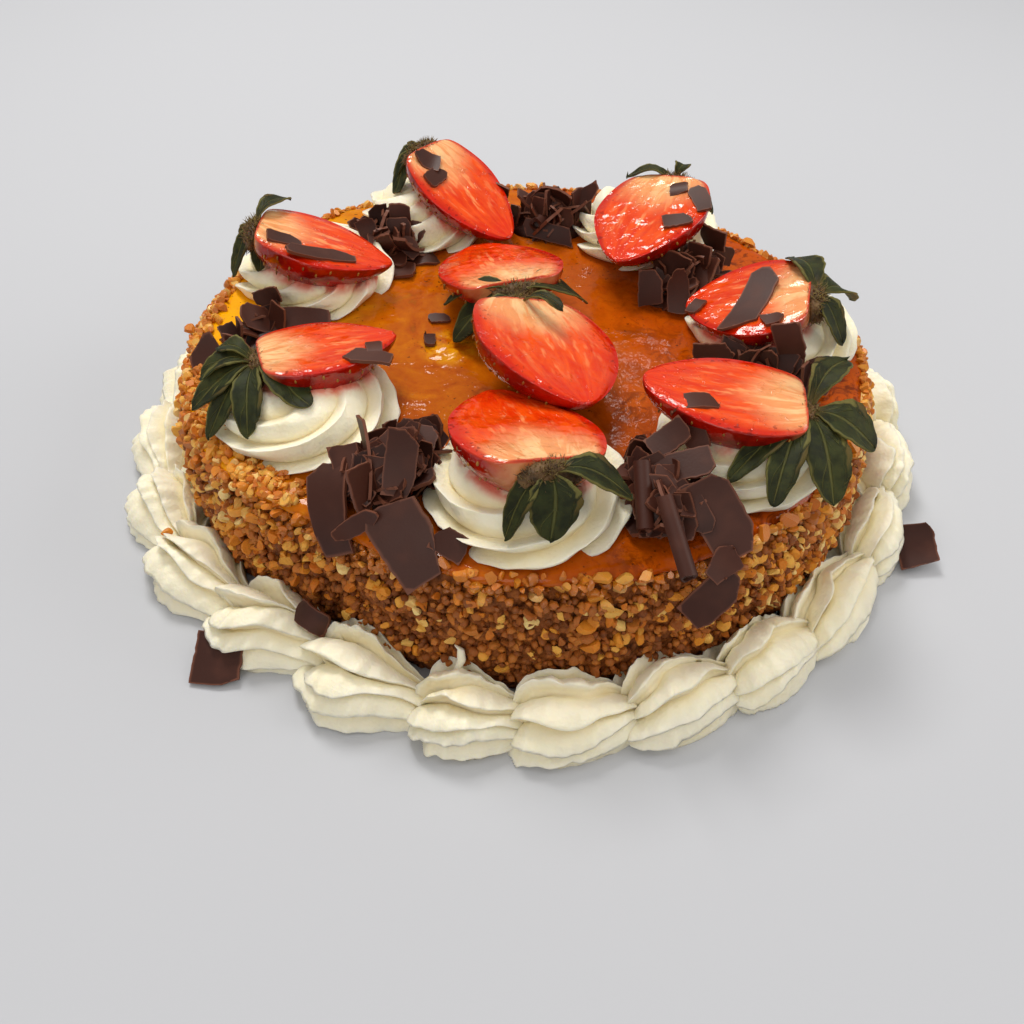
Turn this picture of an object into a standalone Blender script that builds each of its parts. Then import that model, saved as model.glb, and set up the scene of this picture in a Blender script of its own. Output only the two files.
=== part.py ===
"""Egg yolk and cream cake, in metres with +Z up and the origin at the middle of its underside.

A round sponge with a coat of chopped nuts carries a layer of glazed egg yolk. On that stand seven
cream rosettes with a strawberry half on each, two more halves in the middle and seven heaps of shaved
chocolate. A border of piped cream shells runs round the foot. Azimuths are counterclockwise from +X,
and the front of the cake faces -Y.
"""

import math
import random

import bmesh
import bpy
from mathutils import Matrix, Vector, noise
from mathutils.bvhtree import BVHTree

MM = 0.001
SEED = 7

# Clearance between pieces that touch
GAP = 0.35 * MM

# Edges that turn by more degrees than this are drawn sharp
SHARP_ANGLE = 22

# Sponge: (height, radius) of its bare wall, then the chopped nuts pressed into it
WALL_PROFILE = ((0, 113), (20, 113.2), (38, 110.4), (40, 108.8))
SPONGE_HEIGHT = 40 * MM
WALL_STEPS = 116
COAT_ROWS = (22, 25.5, 29, 32.5, 36)
COAT_RELIEF = (-2 * MM, 1 * MM)
NUTS = 20
NUT_SIZE = (4 * MM, 6 * MM)
NUT_HEIGHT = (24 * MM, 36 * MM)
NUT_PROUD = -0.8 * MM

# The wall isn't quite round: (azimuth, swelling at the foot, swelling at the top), even out to the next
SWELLINGS = (
    (0, 0, -3), (10, -1, -5), (20, -3, -9), (36, -9, -13.5), (60, -13, -16), (93, -14, -16.5),
    (110, -13, -15.5), (125, -11, -12), (140, -6, -6), (155, -2.5, -2.5), (175, -0.5, -0.5),
    (190, 1.2, 2.7), (208, 3, 5.4), (220, 2, 4), (230, -1, 1.1), (241, -5, -3.5),
    (252, -2, -1.4), (266, 0, 0), (325, -0.6, -0.6), (342, -2, -2), (352, -1, -2.5), (360, 0, -3),
)

# Yolk layer: (radius, height) of its section, from the middle of its underside over the edge
YOLK_TOP = 44 * MM
YOLK_SECTION = (
    (0, 40.3), (108.2, 40.3), (107.8, 42.1), (106, 43.3), (101, 43.95), (72, 43.95), (38, 43.95),
    (0, 43.95),
)
YOLK_STEPS = 56
YOLK_RELIEF = 0.7 * MM

# Rosettes: middle, radius, height in millimetres and the turn of the first lobe in degrees
ROSETTES = {
    "front": (1, -77, 26, 16, 10),
    "left_front": (-65, -48, 25, 15, 35),
    "left_back": (-76, 22, 25, 15, 0),
    "back_left": (-41, 62, 23, 15, 20),
    "back_right": (38, 58, 25, 16, 45),
    "right_back": (76, 0, 25, 15, 15),
    "right_front": (61, -55, 24, 15, 30),
}
ROSETTE_SECTION = ((0, 0), (0.86, 0), (1, 0.14), (0.88, 0.52), (0.52, 0.88), (0, 1))
LOBES = 7
STEPS_PER_LOBE = 3
LOBE_DEPTH = 0.13
SWIRL = 50

# Strawberry halves: middle of the cut face, heading of the tip, fall of the tip, roll, then length,
# width and depth below the cut face, and how blunt the tip is
BERRIES = {
    "front": ((-2, -68, 62), 112, 16, 10, (45, 40, 14), 0.55),
    "right_front": ((53, -51, 62), 173, -3, 7, (45, 36, 14), 0.75),
    "right_back": ((65, -3, 60), 167, 19, -5, (38, 36, 13), 0.75),
    "back_right": ((35, 37, 63), -114, 10, 11, (47, 38, 14), 0.65),
    "back_left": ((-26, 53, 61), -39, 26, -2, (45, 31, 13), 0.7),
    "left_back": ((-69, 16, 61), 1, 18, -6, (44, 33, 14), 0.75),
    "left_front": ((-59, -36, 60), 21, 2, -11, (40, 33, 13), 0.65),
    "centre_back": ((-14, 17, 56), 109, 16, -1, (45, 40, 12), 0.55),
    "centre_front": ((6, -36, 62), -67, 4, -18, (47, 44, 17), 0.6),
}
WIDEST = 0.72
SHOULDERS = 0.4

# Halves that are hollowed where they lean on another half
LEANING = {"centre_front": "front"}

# Flakes of chocolate on the berries: place along and across the cut face, turn, length and width
BERRY_FLAKES = {
    "back_left": ((-17, -5, 30, 8, 6), (-10, -8, 100, 9, 5)),
    "back_right": ((-12, 13, 60, 7, 5), (0, 12, 20, 9, 5)),
    "right_back": ((-3, 2, 130, 20, 8), (-6, 12, 20, 8, 5)),
    "right_front": ((6, -6, 10, 12, 6),),
    "left_back": ((-12, -6, 20, 9, 6), (-2, -8, 5, 16, 6)),
    "left_front": ((13, -6, 10, 11, 7),),
}

# Leaves under each berry: where the tip lies, and the leaf's width
LEAVES = {
    "front": (((-4, -101, 53), 6), ((7, -101, 53), 11), ((27, -89, 57), 8)),
    "right_front": (
        ((88, -38, 64), 7), ((93, -64, 55), 11), ((80, -82, 51), 9), ((64, -84, 52), 7),
        ((53, -77, 53), 6),
    ),
    "right_back": (((82, 17, 62), 9), ((98, 2, 58), 10), ((94, -15, 53), 8)),
    "back_right": (((49, 64, 68), 5), ((59, 49, 59), 5), ((30, 66, 62), 5)),
    "back_left": (((-53, 58, 54), 6), ((-54, 64, 58), 7), ((-46, 78, 60), 6)),
    "left_back": (((-90, 8, 54), 5), ((-99, 7, 53), 5), ((-98, 22, 56), 5), ((-84, 34, 66), 5)),
    "left_front": (
        ((-90, -40, 60), 6), ((-93, -50, 57), 7), ((-94, -58, 52), 8), ((-88, -66, 49), 6),
        ((-76, -68, 52), 7), ((-60, -60, 54), 8),
    ),
    "centre_back": (((-29, -2, 52), 5), ((-25, -13, 46), 8), ((16, 8, 48), 8)),
    "centre_front": (((8, -25, 68), 4), ((-16, -22, 62), 5)),
}
LEAF_THICKNESS = 0.7 * MM
LEAF_CLEARANCE = 1.3 * MM
LEAF_WATCH = 2.5 * MM
LEAF_RISE = 2.8 * MM
LEAF_START = 2 * MM
LEAF_ARCH = 3 * MM
LEAF_WAVE = 0.5 * MM
LEAF_DROOP = 1 * MM
LEAF_SPREAD = (0.2, 1, 0.9, 0)
HUB_SIZE = (2.6 * MM, 6 * MM, 4.5 * MM)

# Sizes of the loose shavings
LOOSE_LENGTH = (9 * MM, 15 * MM)
LOOSE_WIDTH = (5 * MM, 8 * MM)

# Chocolate heaps: middle, half sizes, heading and height of the core, and the number of loose shavings
HEAPS = {
    "front_left": ((-37, -77), (22, 9), -117, 9, 9),
    "front_right": ((37, -82), (20, 9), -66, 9, 7),
    "right": ((70, -27), (16, 5), -16, 8, 4),
    "right_back": ((50, 24), (15, 8), 35, 9, 5),
    "back": ((2, 60), (15, 8), 0, 8, 5),
    "left_back": ((-54, 39), (10, 7), -16, 8, 4),
    "left": ((-87, -13), (19, 8), -100, 7, 4),
}

# Large shavings: middle, heading, fall and roll of the long side, then length and width
SHAVINGS = {
    "front_left": (
        (-52, -88, 48, -79, 33, 29, 25, 12), (-29, -99, 48, -45, 33, 39, 22, 15),
        (-18, -99, 48, -19, 22, 33, 9, 7), (-32, -82, 59, -100, 55, -11, 17, 8),
        (-47, -78, 54, -65, 24, 23, 15, 8), (-42, -95, 49, -169, 29, -62, 13, 5),
        (-42, -77, 56, -77, 28, 80, 24, 6),
    ),
    "front_right": (
        (50, -90, 53, -55, 31, 28, 21, 12), (49, -105, 39, -146, 34, -40, 16, 9),
        (51, -101, 48, -142, 28, -29, 10, 8), (37, -69, 60, -151, 29, -12, 11, 7),
        (40, -77, 58, -173, 19, -18, 16, 8), (44, -66, 60, -66, 26, 45, 10, 7),
    ),
    "right": (
        (75, -27, 60, -33, 60, 77, 15, 8), (54, -24, 54, 171, 11, -76, 12, 6),
        (67, -27, 54, 159, 16, -82, 11, 7), (85, -31, 53, -89, 47, 19, 11, 7),
    ),
    "right_back": (
        (43, 21, 56, 151, 2, -80, 14, 8), (37, 12, 51, -81, 60, 32, 13, 8),
        (46, 11, 52, -72, 65, 20, 14, 7), (58, 33, 59, -44, 0, -79, 10, 8),
        (53, 24, 57, 134, 11, -79, 9, 8), (62, 32, 53, 12, 17, 72, 9, 6),
    ),
    "back": (
        (3, 62, 57, 1, 12, -61, 14, 8), (2, 51, 48, -11, 6, 64, 23, 6),
        (-15, 63, 56, 134, 63, 63, 10, 7), (12, 61, 55, 173, 38, -52, 19, 5),
    ),
    "left_back": (
        (-50, 43, 52, -50, 39, 52, 15, 8), (-49, 33, 47, -90, 11, -2, 10, 6),
        (-40, 35, 45.5, 12, 0, 4, 12, 6), (-46, 27, 45.5, -84, 0, 4, 8, 7),
        (-44, 42, 51, -148, 59, -39, 10, 6),
    ),
    "left": (
        (-80, -10, 49, -170, 6, -34, 28, 8), (-97, -34, 46, -73, 16, 20, 23, 11),
        (-84, -6, 55, 171, 21, -80, 9, 5),
    ),
}

# Rolled shavings: one end and the other
ROLLS = {
    "front_right": (((35, -89, 58), (41, -108, 50)), ((30, -77, 58), (31, -94, 51))),
    "back": (((-2, 50, 51), (2, 58, 50)),),
}
ROLL_RADIUS = 2.6 * MM
SHAVING_THICKNESS = 1.1 * MM

# Each shaving is tried in this many places, each up to this many millimetres further off
TRIES = 60
SHIFT = 0.1

# Border: azimuths where each visible shell starts, going round to the right, and the number behind
SHELL_STARTS = (173, 187, 201, 213, 228, 243, 259, 271, 285, 299, 313, 330, 345, 361, 375, 389)
SHELLS_BEHIND = 9
SHELL_HEIGHT = 18 * MM
SHELL_MIDDLE = 122.5 * MM
SHELL_REACH = 133 * MM
SHELL_SPREAD = 4 * MM
SPREAD_AZIMUTH = 250
SHELL_ALONG = (0, 0, 0.3, 0.7, 1, 1)
SHELL_SWELL = (0, 0.62, 1, 0.92, 0.5, 0)
GROOVE = 0.8

# Flakes stuck to the border: shell, then middle, heading, fall and roll of the long side, length and width
SHELL_FLAKES = {
    "cream_shell_05": ((-84, -108, 4.4, -92, 25, 4, 15, 14), (-58, -101, 16, -31, 8, 52, 11, 7)),
    "cream_shell_12": ((123, -54, 5, -82, 25, 12, 15, 12),),
}

# Pieces whose middles are further apart than this can't touch
NEAR = 60 * MM

# Above everything on the cake
SKY = 90 * MM

PRINCIPLED = {
    "chopped_nuts": ((0.62, 0.36, 0.16), 0.5),
    "egg_yolk": ((0.76, 0.33, 0.02), 0.12),
    "cream": ((0.93, 0.9, 0.8), 0.55),
    "strawberry": ((0.85, 0.1, 0.03), 0.25),
    "leaf": ((0.06, 0.11, 0.04), 0.5),
    "chocolate": ((0.12, 0.055, 0.04), 0.45),
}


def clear_scene():
    for obj in list(bpy.data.objects):
        bpy.data.objects.remove(obj)


def make_material(name):
    colour, roughness = PRINCIPLED[name]
    material = bpy.data.materials.new(name)
    material.use_nodes = True
    shader = material.node_tree.nodes["Principled BSDF"]
    shader.inputs["Base Color"].default_value = (*colour, 1)
    shader.inputs["Roughness"].default_value = roughness
    return material


def make_collection(name):
    collection = bpy.data.collections.new(name)
    bpy.context.scene.collection.children.link(collection)
    return collection


def smooth(mesh):
    mesh.shade_smooth()
    mesh.set_sharp_from_angle(angle=math.radians(SHARP_ANGLE))


def add_object(name, shape, material, collection, place=None):
    """Makes an object of a bmesh, which it frees."""
    bmesh.ops.recalc_face_normals(shape, faces=shape.faces)
    if shape.calc_volume(signed=True) < 0:
        bmesh.ops.reverse_faces(shape, faces=shape.faces)
    mesh = bpy.data.meshes.new(name)
    shape.to_mesh(mesh)
    shape.free()
    mesh.materials.append(material)
    smooth(mesh)
    obj = bpy.data.objects.new(name, mesh)
    collection.objects.link(obj)
    obj.matrix_world = place or Matrix()
    return obj


def add_cutter(shape, place, cutters):
    cutter = add_object("cutter", shape, None, cutters, place)
    cutter.hide_render = True
    cutter.display_type = "WIRE"
    return cutter


def islands(shape):
    """The bodies that a bmesh holds, each as a list of its faces."""
    left = set(shape.faces)
    found = []
    while left:
        body = []
        rim = [left.pop()]
        while rim:
            face = rim.pop()
            body.append(face)
            near = {other for edge in face.edges for other in edge.link_faces} & left
            left -= near
            rim.extend(near)
        found.append(body)
    return found


def combine(obj, others, operation, solver="EXACT"):
    """One Boolean of the object with a collection, applied. Those objects go, and so do loose scraps."""
    if not others.objects:
        return
    boolean = obj.modifiers.new(operation.lower(), "BOOLEAN")
    boolean.operation = operation
    boolean.operand_type = "COLLECTION"
    boolean.collection = others
    boolean.solver = solver
    bpy.context.view_layer.update()
    graph = bpy.context.evaluated_depsgraph_get()
    mesh = bpy.data.meshes.new_from_object(obj.evaluated_get(graph))
    obj.modifiers.clear()
    obj.data = mesh
    for other in list(others.objects):
        bpy.data.objects.remove(other)
    shape = bmesh.new()
    shape.from_mesh(mesh)
    bmesh.ops.remove_doubles(shape, verts=shape.verts, dist=0.001 * MM)
    bodies = sorted(islands(shape), key=len)
    scraps = [face for body in bodies[:-1] for face in body]
    bmesh.ops.delete(shape, geom=scraps, context="FACES")
    bmesh.ops.triangulate(shape, faces=shape.faces)
    shape.to_mesh(mesh)
    shape.free()
    smooth(mesh)


def tree_of(obj):
    shape = bmesh.new()
    shape.from_mesh(obj.data)
    shape.transform(obj.matrix_world)
    tree = BVHTree.FromBMesh(shape)
    shape.free()
    return tree


def contains(tree, point):
    """Whether a ray straight up from the point leaves the solid once more than it enters it."""
    up = Vector((0, 0, 1))
    inside = False
    hit = tree.ray_cast(point, up)[0]
    while hit:
        inside = not inside
        hit = tree.ray_cast(hit + up * 0.001 * MM, up)[0]
    return inside


def is_clear(shape, place, trees):
    """Whether a bmesh, put in its place, keeps off every solid in the list."""
    placed = shape.copy()
    placed.transform(place)
    tree = BVHTree.FromBMesh(placed)
    points = [vert.co.copy() for vert in placed.verts]
    placed.free()
    return not any(other.overlap(tree) or contains(other, points[0]) for other in trees)


def axes(middle, heading, fall, roll):
    """A frame whose X falls away from the horizontal at a heading, and whose Z is up before the roll."""
    turn = Matrix.Rotation(math.radians(heading), 4, "Z")
    tip = Matrix.Rotation(math.radians(fall), 4, "Y")
    lean = Matrix.Rotation(math.radians(roll), 4, "X")
    return Matrix.Translation(Vector(middle) * MM) @ turn @ tip @ lean


def polar(radius, azimuth, height):
    return Vector((radius * math.cos(azimuth), radius * math.sin(azimuth), height))


def turned(profile, steps):
    """A closed solid of revolution about Z from (radius, height) points that start and end on the axis."""
    shape = bmesh.new()
    verts = [shape.verts.new((radius, 0, height)) for radius, height in profile]
    for lower, upper in zip(verts, verts[1:]):
        shape.edges.new((lower, upper))
    bmesh.ops.spin(
        shape, geom=shape.verts[:] + shape.edges[:], cent=(0, 0, 0), axis=(0, 0, 1), dvec=(0, 0, 0),
        angle=math.tau, steps=steps, use_merge=True,
    )
    bmesh.ops.remove_doubles(shape, verts=shape.verts, dist=0.01 * MM)
    return shape


def bulge(azimuth, height=0):
    degrees = math.degrees(azimuth) % 360
    rise = min(1, max(0, height / SPONGE_HEIGHT))
    for (low, *before), (high, *after) in zip(SWELLINGS, SWELLINGS[1:]):
        if degrees <= high:
            share = (degrees - low) / (high - low)
            share *= share * (3 - 2 * share)
            foot, top = (one + (other - one) * share for one, other in zip(before, after))
            return (foot + (top - foot) * rise) * MM
    return 0


def wall_radius(azimuth, height):
    rows = [(z * MM, radius * MM) for z, radius in WALL_PROFILE]
    for (low, inner), (high, outer) in zip(rows, rows[1:]):
        if height <= high:
            share = (height - low) / (high - low)
            return inner + (outer - inner) * share + bulge(azimuth, height)
    return rows[-1][1] + bulge(azimuth, height)


def add_nut(rng, material, nuts):
    """One chopped nut, half sunk in the wall above the border."""
    azimuth = rng.uniform(0, math.tau)
    height = rng.uniform(*NUT_HEIGHT)
    shape = bmesh.new()
    bmesh.ops.create_icosphere(shape, subdivisions=1, radius=0.5)
    size = rng.uniform(*NUT_SIZE)
    sizes = (size, size * rng.uniform(0.6, 0.9), size * rng.uniform(0.6, 0.9))
    bmesh.ops.scale(shape, vec=sizes, verts=shape.verts)
    turn = Matrix.Rotation(rng.uniform(0, math.tau), 4, "X")
    turn @= Matrix.Rotation(rng.uniform(0, math.tau), 4, "Z")
    spot = polar(wall_radius(azimuth, height) + NUT_PROUD, azimuth, height)
    return add_object("nut", shape, material, nuts, Matrix.Translation(spot) @ turn)


def make_sponge(material, parts, cutters):
    rng = random.Random(SEED)
    inner = WALL_PROFILE[:2] + tuple((row, 0) for row in COAT_ROWS) + WALL_PROFILE[-1:]
    heights = [row[0] * MM for row in inner]
    profile = [(0, 0)] + [(wall_radius(0, height), height) for height in heights] + [(0, SPONGE_HEIGHT)]
    shape = turned(profile, WALL_STEPS)
    coat = (COAT_ROWS[0] - 1) * MM, (COAT_ROWS[-1] + 1) * MM
    for vert in shape.verts:
        if vert.co.xy.length < 1 * MM:
            continue
        azimuth = math.atan2(vert.co.y, vert.co.x)
        height = vert.co.z
        proud = 0
        if coat[0] < height < coat[1]:
            azimuth += rng.uniform(-0.35, 0.35) * math.tau / WALL_STEPS
            height += rng.uniform(-1, 1) * MM
            proud = rng.uniform(*COAT_RELIEF)
        vert.co = polar(wall_radius(azimuth, height) + proud, azimuth, height)
    bmesh.ops.triangulate(shape, faces=shape.faces)
    sponge = add_object("sponge_with_nuts", shape, material, parts)
    for _ in range(NUTS):
        add_nut(rng, material, cutters)
    combine(sponge, cutters, "UNION", "MANIFOLD")
    return sponge


def make_yolk(material, parts):
    shape = turned([(radius * MM, height * MM) for radius, height in YOLK_SECTION], YOLK_STEPS)
    for vert in shape.verts:
        radius = vert.co.xy.length
        azimuth = math.atan2(vert.co.y, vert.co.x)
        swelling = bulge(azimuth, YOLK_TOP) * min(1, radius / (100 * MM))
        spot = polar(radius + swelling, azimuth, vert.co.z)
        if spot.z > 43 * MM:
            spot.z -= YOLK_RELIEF * (0.5 + 0.5 * noise.noise(spot / (14 * MM)))
        vert.co = spot
    bmesh.ops.triangulate(shape, faces=shape.faces)
    return add_object("egg_yolk_glaze", shape, material, parts)


def berry_place(name):
    middle, heading, fall, roll, _, _ = BERRIES[name]
    return axes(middle, heading, fall, roll)


def berry_swell(along, blunt):
    """Half width of a berry, 0 to 1: broad shoulders by its leaves, at -1, and a narrower tip, at 1."""
    share = min(1, (along + 1) / 2)
    blunt *= SHOULDERS + (1 - SHOULDERS) * min(1, 2 * share)
    return max(0, math.sin(math.pi * share**WIDEST)) ** blunt


def berry_shape(name, grow=0):
    """Half a strawberry: X runs from the leaves to the tip, and the flat cut face looks along +Z."""
    *_, sizes, blunt = BERRIES[name]
    length, width, depth = (size * MM for size in sizes)
    shape = bmesh.new()
    bmesh.ops.create_uvsphere(shape, u_segments=12, v_segments=7, radius=1)
    bmesh.ops.rotate(shape, matrix=Matrix.Rotation(math.pi / 2, 3, "Y"), verts=shape.verts)
    everything = shape.verts[:] + shape.edges[:] + shape.faces[:]
    bmesh.ops.bisect_plane(shape, geom=everything, plane_co=(0, 0, 0), plane_no=(0, 0, 1), clear_outer=True)
    bmesh.ops.holes_fill(shape, edges=[edge for edge in shape.edges if edge.is_boundary])
    for vert in shape.verts:
        along = vert.co.x
        ring = math.sqrt(max(0, 1 - along**2))
        swell = berry_swell(along, blunt)
        across = vert.co.y / ring if ring > 0.01 else 0
        below = vert.co.z / ring if ring > 0.01 else 0
        vert.co.x = along * (length / 2 + grow)
        vert.co.y = across * (width / 2 * swell + grow)
        vert.co.z = below * (depth * swell + 2 * grow) + grow
    return shape


def shaving_shape(length, width, rng, grow=0):
    """A broken flat shaving with four or five corners."""
    corners = rng.choice((4, 4, 5))
    shape = bmesh.new()
    outline = []
    for corner in range(corners):
        angle = math.tau * (corner + 0.5 + rng.uniform(-0.2, 0.2)) / corners
        x = max(-0.5, min(0.5, 0.68 * math.cos(angle)))
        y = max(-0.5, min(0.5, 0.68 * math.sin(angle)))
        outline.append(shape.verts.new((x * (length + 2 * grow), y * (width + 2 * grow), 0)))
    top = shape.faces.new(outline)
    raised = bmesh.ops.extrude_face_region(shape, geom=[top])["geom"]
    thickness = SHAVING_THICKNESS + 2 * grow
    risen = [item for item in raised if isinstance(item, bmesh.types.BMVert)]
    bmesh.ops.translate(shape, vec=(0, 0, thickness), verts=risen)
    bmesh.ops.translate(shape, vec=(0, 0, -thickness / 2), verts=shape.verts)
    return shape


def make_berry(name, materials, parts, cutters):
    place = berry_place(name)
    berry = add_object(f"strawberry_{name}", berry_shape(name), materials["strawberry"], parts, place)
    if name in LEANING:
        add_cutter(berry_shape(LEANING[name], GAP), berry_place(LEANING[name]), cutters)
        combine(berry, cutters, "DIFFERENCE")
    rng = random.Random(SEED)
    for number, (x, y, turn, length, width) in enumerate(BERRY_FLAKES.get(name, ())):
        spot = axes((x, y, 0.3 + 0.2 * number), turn, 3 + number, 2)
        flake = shaving_shape(length * MM, width * MM, rng)
        add_object("flake", flake, materials["chocolate"], cutters, place @ spot)
    combine(berry, cutters, "UNION", "MANIFOLD")
    return berry


def rosette_shape(name, grow=0):
    """A piped rosette: its lobes swirl as they rise."""
    _, _, radius, height, turn = ROSETTES[name]
    radius = radius * MM + grow
    height = height * MM + grow
    profile = [(radius * out, height * up) for out, up in ROSETTE_SECTION]
    shape = turned(profile, LOBES * STEPS_PER_LOBE)
    for vert in shape.verts:
        out = vert.co.xy.length
        if out < 0.1 * MM:
            continue
        azimuth = math.atan2(vert.co.y, vert.co.x)
        crest = abs(math.sin(LOBES / 2 * azimuth))
        out *= 1 + LOBE_DEPTH * (crest - 0.8)
        azimuth += math.radians(turn + SWIRL * vert.co.z / height)
        vert.co = polar(out, azimuth, vert.co.z)
    for vert in shape.verts:
        if vert.co.z < 0.1 * MM:
            vert.co.z -= 2 * grow
    return shape


def rosette_place(name):
    x, y, *_ = ROSETTES[name]
    return Matrix.Translation(Vector((x * MM, y * MM, YOLK_TOP + GAP)))


def make_rosette(name, material, parts, cutters):
    rosette = add_object(f"cream_rosette_{name}", rosette_shape(name), material, parts, rosette_place(name))
    for berry in BERRIES:
        reach = (berry_place(berry).translation - rosette.location).length
        if reach < NEAR:
            add_cutter(berry_shape(berry, GAP), berry_place(berry), cutters)
            add_cutter(hub_shape(2 * GAP), hub_place(berry), cutters)
    combine(rosette, cutters, "DIFFERENCE")
    return rosette


def hub_shape(grow=0):
    """The hairy boss that the leaves grow from."""
    shape = bmesh.new()
    bmesh.ops.create_icosphere(shape, subdivisions=1, radius=1)
    bmesh.ops.scale(shape, vec=[size + grow for size in HUB_SIZE], verts=shape.verts)
    return shape


def hub_place(name):
    *_, sizes, _ = BERRIES[name]
    return berry_place(name) @ Matrix.Translation((-sizes[0] * MM / 2 - 0.3 * HUB_SIZE[0], 0, -HUB_SIZE[2]))


def leaf_shape(base, tip, width, supports):
    """A thin leaf that arches from base to tip, lies on what is under it and has a raised rib."""
    shape = bmesh.new()
    along = tip - base
    side = along.cross(Vector((0, 0, 1))).normalized() * width / 2
    rows = []
    for station, spread in enumerate(LEAF_SPREAD):
        share = station / (len(LEAF_SPREAD) - 1)
        middle = base + along * share + Vector((0, 0, LEAF_ARCH * math.sin(math.pi * share)))
        offsets = (0,) if spread == 0 else (-spread, 0, spread)
        row = []
        for offset in offsets:
            wave = LEAF_WAVE * math.sin(5 * share + 2 * offset)
            spot = middle + side * offset + Vector((0, 0, wave - abs(offset) * LEAF_DROOP))
            row.append(shape.verts.new(lifted(spot, supports)))
        rows.append(row)
    for near, far in zip(rows, rows[1:]):
        if len(far) == 1:
            shape.faces.new((near[0], near[1], far[0]))
            shape.faces.new((near[1], near[2], far[0]))
            continue
        for left in range(2):
            shape.faces.new((near[left], near[left + 1], far[left + 1], far[left]))
    bmesh.ops.triangulate(shape, faces=shape.faces)
    bmesh.ops.recalc_face_normals(shape, faces=shape.faces)
    bmesh.ops.solidify(shape, geom=shape.faces[:], thickness=LEAF_THICKNESS)
    return shape


def lifted(spot, supports):
    """The point, raised where needed to lie above what is under it and close around it."""
    floor = 0
    for east, north in ((0, 0), (1, 0), (-1, 0), (0, 1), (0, -1)):
        above = Vector((spot.x + LEAF_WATCH * east, spot.y + LEAF_WATCH * north, SKY))
        for tree in supports:
            top = tree.ray_cast(above, Vector((0, 0, -1)))[0]
            floor = max(floor, top.z if top else 0)
    return Vector((spot.x, spot.y, max(spot.z, floor + LEAF_THICKNESS + LEAF_CLEARANCE)))


def make_calyx(name, material, parts, cutters, supports):
    """The leaves and their hub at the wide end of one berry."""
    middle = hub_place(name).translation
    calyx = add_object(f"calyx_{name}", hub_shape(), material, parts, hub_place(name))
    for tip, width in LEAVES[name]:
        tip = Vector(tip) * MM
        base = middle + Vector((0, 0, LEAF_RISE)) + (tip - middle).normalized() * LEAF_START
        add_object("leaf", leaf_shape(base, tip, width * MM, supports), material, cutters)
    combine(calyx, cutters, "UNION")
    for berry in BERRIES:
        if (berry_place(berry).translation - middle).length < NEAR:
            add_cutter(berry_shape(berry, GAP), berry_place(berry), cutters)
    combine(calyx, cutters, "DIFFERENCE")
    return calyx


def mound_shape(half_length, half_width, height):
    shape = bmesh.new()
    bmesh.ops.create_uvsphere(shape, u_segments=12, v_segments=6, radius=1)
    everything = shape.verts[:] + shape.edges[:] + shape.faces[:]
    bmesh.ops.bisect_plane(shape, geom=everything, plane_co=(0, 0, 0), plane_no=(0, 0, -1), clear_outer=True)
    bmesh.ops.holes_fill(shape, edges=[edge for edge in shape.edges if edge.is_boundary])
    bmesh.ops.scale(shape, vec=(half_length, half_width, height), verts=shape.verts)
    return shape


def settled(values, lengths, rng, others):
    """The shaving and its place, moved a little until it keeps off the other pieces, or None."""
    x, y, z, *angles = values
    state = rng.getstate()
    wide = shaving_shape(*lengths, rng, GAP)
    rng.setstate(state)
    shape = shaving_shape(*lengths, rng)
    found = None
    for attempt in range(TRIES):
        reach = SHIFT * attempt
        east = rng.uniform(-reach, reach)
        north = rng.uniform(-reach, reach)
        place = axes((x + east, y + north, z + rng.uniform(0, reach)), *angles)
        if is_clear(wide, place, others):
            found = shape, place
            break
    wide.free()
    if not found:
        shape.free()
    return found


def make_core(name, material, parts, cutters):
    """The low core of a heap, hollowed where berries and rosettes reach into it."""
    (x, y), (half_length, half_width), heading, height, _ = HEAPS[name]
    core = mound_shape(half_length * MM, half_width * MM, height * MM)
    place = axes((x, y, (YOLK_TOP + GAP) / MM), heading, 0, 0)
    heap = add_object(f"chocolate_heap_{name}", core, material, parts, place)
    for berry in BERRIES:
        if (berry_place(berry).translation - heap.location).length < NEAR:
            add_cutter(berry_shape(berry, GAP), berry_place(berry), cutters)
    for rosette in ROSETTES:
        if (rosette_place(rosette).translation - heap.location).length < NEAR:
            add_cutter(rosette_shape(rosette, 4 * GAP), rosette_place(rosette), cutters)
    combine(heap, cutters, "DIFFERENCE")
    return heap


def add_roll(ends, material, cutters, others):
    """A shaving rolled up between two points, left out where it would meet another piece."""
    one, other = (Vector(end) * MM for end in ends)
    roll = bmesh.new()
    bmesh.ops.create_cone(
        roll, cap_ends=True, segments=9, radius1=ROLL_RADIUS, radius2=ROLL_RADIUS, depth=(other - one).length,
    )
    upright = (other - one).to_track_quat("Z", "Y").to_matrix().to_4x4()
    place = Matrix.Translation((one + other) / 2) @ upright
    if is_clear(roll, place, others):
        return [tree_of(add_object("roll", roll, material, cutters, place))]
    roll.free()
    return []


def loose_place(name, rng):
    """A random place on or beside a heap's core, and a random lie."""
    (x, y), (half_length, half_width), heading, height, _ = HEAPS[name]
    out = math.sqrt(rng.random()) * 1.15
    way = rng.uniform(0, math.tau)
    spot = Vector((half_length * out * math.cos(way), half_width * out * math.sin(way), 0))
    spot.rotate(Matrix.Rotation(math.radians(heading), 3, "Z"))
    rise = height * math.sqrt(max(0, 1 - out**2)) + rng.uniform(0, 4)
    angles = rng.uniform(0, 360), rng.uniform(15, 75), rng.uniform(-60, 60)
    return x + spot.x, y + spot.y, (YOLK_TOP + GAP) / MM + rise, *angles


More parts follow.
